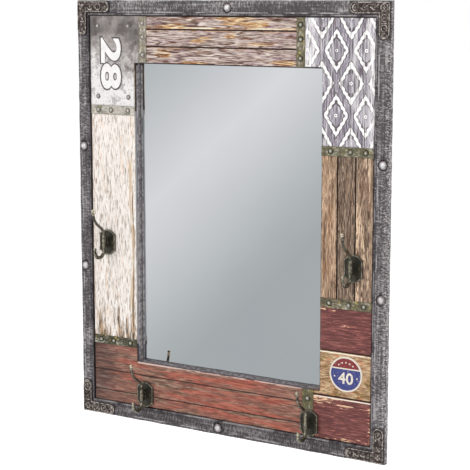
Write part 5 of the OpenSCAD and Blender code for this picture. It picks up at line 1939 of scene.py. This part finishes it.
class MIRROR_OT_stage(bpy.types.Operator):
    """Sets up the camera, the soft light, the pale floor and the reflection card"""

    bl_idname = "mirror.stage"
    bl_label = "Stage"

    # The strength of the surround on matt pieces. Metal, glass and the camera see it white.
    SURROUND = 0.62
    # Each lamp's name, place, size and power.
    LAMPS = (
        ("key", (-1.6, -2.6, 2.4), 2.2, 62),
        ("fill", (2.6, -2, 0.6), 2, 26),
        ("back", (-1.5, 2.6, 1.8), 2, 30),
    )
    # The card's radius and its foot and top. A pale band slants across it: how the band's
    # distance changes along X and Z, where it starts, and its tones as the camera sees them.
    CARD_R, CARD_Z = 5, (-4, 5)
    SLANT_X, SLANT_Z, SLANT_AT = 0.565, -0.497, 1.312
    BAND = ((0, 214, 215, 219), (0.10, 207, 208, 212), (0.21, 196, 198, 202),
            (0.32, 183, 187, 190), (0.42, 172, 176, 179), (0.53, 164, 169, 172))

    def camera(self, settings):
        """The camera of the photograph."""
        data = bpy.data.cameras.new("camera")
        data.sensor_width = 36
        data.lens = settings.lens
        data.shift_y = settings.shift
        data.clip_end = 100
        camera = new_object("camera", data)
        camera.location = settings.camera
        camera.rotation_euler = (math.pi / 2 - settings.tilt, 0, settings.turn)
        bpy.context.scene.camera = camera

    def world(self):
        """An even surround that reads white to the camera, to metal and to glass."""
        world = bpy.data.worlds.new("studio")
        bpy.context.scene.world = world
        world.use_nodes = True
        tree = world.node_tree
        background = tree.nodes["Background"]
        background.inputs["Color"].default_value = (1, 1, 1, 1)
        path = tree.nodes.new("ShaderNodeLightPath")
        seen = path.outputs["Is Camera Ray"]
        for ray in ("Is Glossy Ray", "Is Transmission Ray"):
            either = tree.nodes.new("ShaderNodeMath")
            either.operation = "MAXIMUM"
            tree.links.new(seen, either.inputs[0])
            tree.links.new(path.outputs[ray], either.inputs[1])
            seen = either.outputs[0]
        level = tree.nodes.new("ShaderNodeMapRange")
        level.inputs["To Min"].default_value = self.SURROUND
        level.inputs["To Max"].default_value = 1
        tree.links.new(seen, level.inputs["Value"])
        tree.links.new(level.outputs["Result"], background.inputs["Strength"])

    def lamp(self, name, place, size, power):
        """A square soft light that shines on the mirror."""
        data = bpy.data.lights.new(name, "AREA")
        data.shape = "SQUARE"
        data.size = size
        data.energy = power
        lamp = new_object(name, data)
        lamp.location = place
        lamp.rotation_euler = (-Vector(place)).to_track_quat("-Z", "Y").to_euler()
        lamp.visible_glossy = False

    def surface(self, bm, name, paint, glow):
        """Turns a bmesh into an object of the stage that shows a glow as its surface."""
        paint.feed(paint.tree.nodes["Material Output"].inputs["Surface"], glow.outputs[0])
        mesh = bpy.data.meshes.new(name)
        bm.to_mesh(mesh)
        bm.free()
        mesh.materials.append(paint.material)
        return new_object(name, mesh)

    def floor(self, settings):
        """A pale floor that keeps the shadow and reads white to the camera."""
        bm = bmesh.new()
        bmesh.ops.create_grid(bm, x_segments=1, y_segments=1, size=30)
        height = CAD_BOX[0].z - settings.floor_drop
        bmesh.ops.translate(bm, vec=(0, 0, height), verts=bm.verts[:])
        paint = Finish("floor_paint", roughness=0.9)
        paint.shader.inputs["Base Color"].default_value = (*settings.floor, 1)
        paint.shader.inputs["Specular IOR Level"].default_value = 0
        glow = paint.node("Emission", Color=(1, 1, 1))
        path = paint.node("LightPath").outputs["Is Camera Ray"]
        paint.feed(glow.inputs["Strength"], paint.times(path, 0.5))
        both = paint.node("AddShader")
        paint.feed(both.inputs[0], paint.shader.outputs[0])
        paint.feed(both.inputs[1], glow.outputs[0])
        floor = self.surface(bm, "floor", paint, both)
        floor.visible_glossy = False

    def card(self):
        """A curved grey card in front, which only reflections show."""
        bm = bmesh.new()
        start = [bm.verts.new((-self.CARD_R, 0, z)) for z in self.CARD_Z]
        edge = bm.edges.new(start)
        bmesh.ops.spin(
            bm, geom=[*start, edge], cent=(0, 0, 0), axis=(0, 0, 1), angle=math.pi, steps=48
        )
        grey = Finish("card_grey")
        slant = grey.add(grey.times(grey.x, self.SLANT_X), grey.times(grey.z, self.SLANT_Z))
        away = grey.maths("PINGPONG", grey.add(slant, self.SLANT_AT), 1)
        stops = [
            (place, tuple(a / b for a, b in zip(srgb(*tone), SILVER))) for place, *tone in self.BAND
        ]
        grey.tone = grey.ramp(away, stops)
        grey.coat(grey.mask(grey.z, 0.5, 1.4), (1, 1, 1))
        grey.coat(grey.mask(grey.z, -2, -2.8), srgb(104, 106, 110))
        grey.coat(grey.mask(grey.x, 1.4, 2.6), srgb(112, 114, 118))
        glow = grey.node("Emission", Color=grey.tone, Strength=1)
        card = self.surface(bm, "card", grey, glow)
        for ray in ("camera", "diffuse", "transmission", "volume_scatter", "shadow"):
            setattr(card, "visible_" + ray, False)

    def execute(self, context):
        settings = context.scene.patchwork_mirror.stage
        self.camera(settings)
        self.world()
        for lamp in self.LAMPS:
            self.lamp(*lamp)
        self.floor(settings)
        self.card()
        context.scene.view_settings.view_transform = "Standard"
        return {"FINISHED"}


OPERATORS = (
    MIRROR_OT_stage, MIRROR_OT_border, MIRROR_OT_brackets, MIRROR_OT_studs, MIRROR_OT_boards,
    MIRROR_OT_straps, MIRROR_OT_number_plate, MIRROR_OT_rivets, MIRROR_OT_badge, MIRROR_OT_hooks,
    MIRROR_OT_screws, MIRROR_OT_glass, MIRROR_OT_back,
)


class MIRROR_PT_pieces(bpy.types.Panel):
    """Lists the settings and the builders of the mirror"""

    bl_idname = "MIRROR_PT_pieces"
    bl_label = "Patchwork mirror"
    bl_space_type = "VIEW_3D"
    bl_region_type = "UI"
    bl_category = "Mirror"

    def draw(self, context):
        settings = context.scene.patchwork_mirror
        groups = (settings.border, settings.boards, settings.metal, settings.hooks, settings.stage)
        for group in groups:
            box = self.layout.box()
            for key in group.bl_rna.properties.keys():
                if key not in ("rna_type", "name"):
                    box.prop(group, key)
        for operator in OPERATORS:
            self.layout.operator(operator.bl_idname)


CLASSES = (
    BorderSettings, BoardSettings, MetalSettings, HookSettings, StageSettings, MirrorSettings,
    *OPERATORS, MIRROR_PT_pieces,
)


def register():
    """Adds the classes and the scene's settings."""
    for cls in CLASSES:
        bpy.utils.register_class(cls)
    bpy.types.Scene.patchwork_mirror = PointerProperty(type=MirrorSettings)


def unregister():
    """Takes the settings and the classes away."""
    del bpy.types.Scene.patchwork_mirror
    for cls in reversed(CLASSES):
        bpy.utils.unregister_class(cls)


def main():
    """Builds every piece."""
    register()
    for operator in OPERATORS:
        group, name = operator.bl_idname.split(".")
        getattr(getattr(bpy.ops, group), name)()


if __name__ == "__main__":
    main()
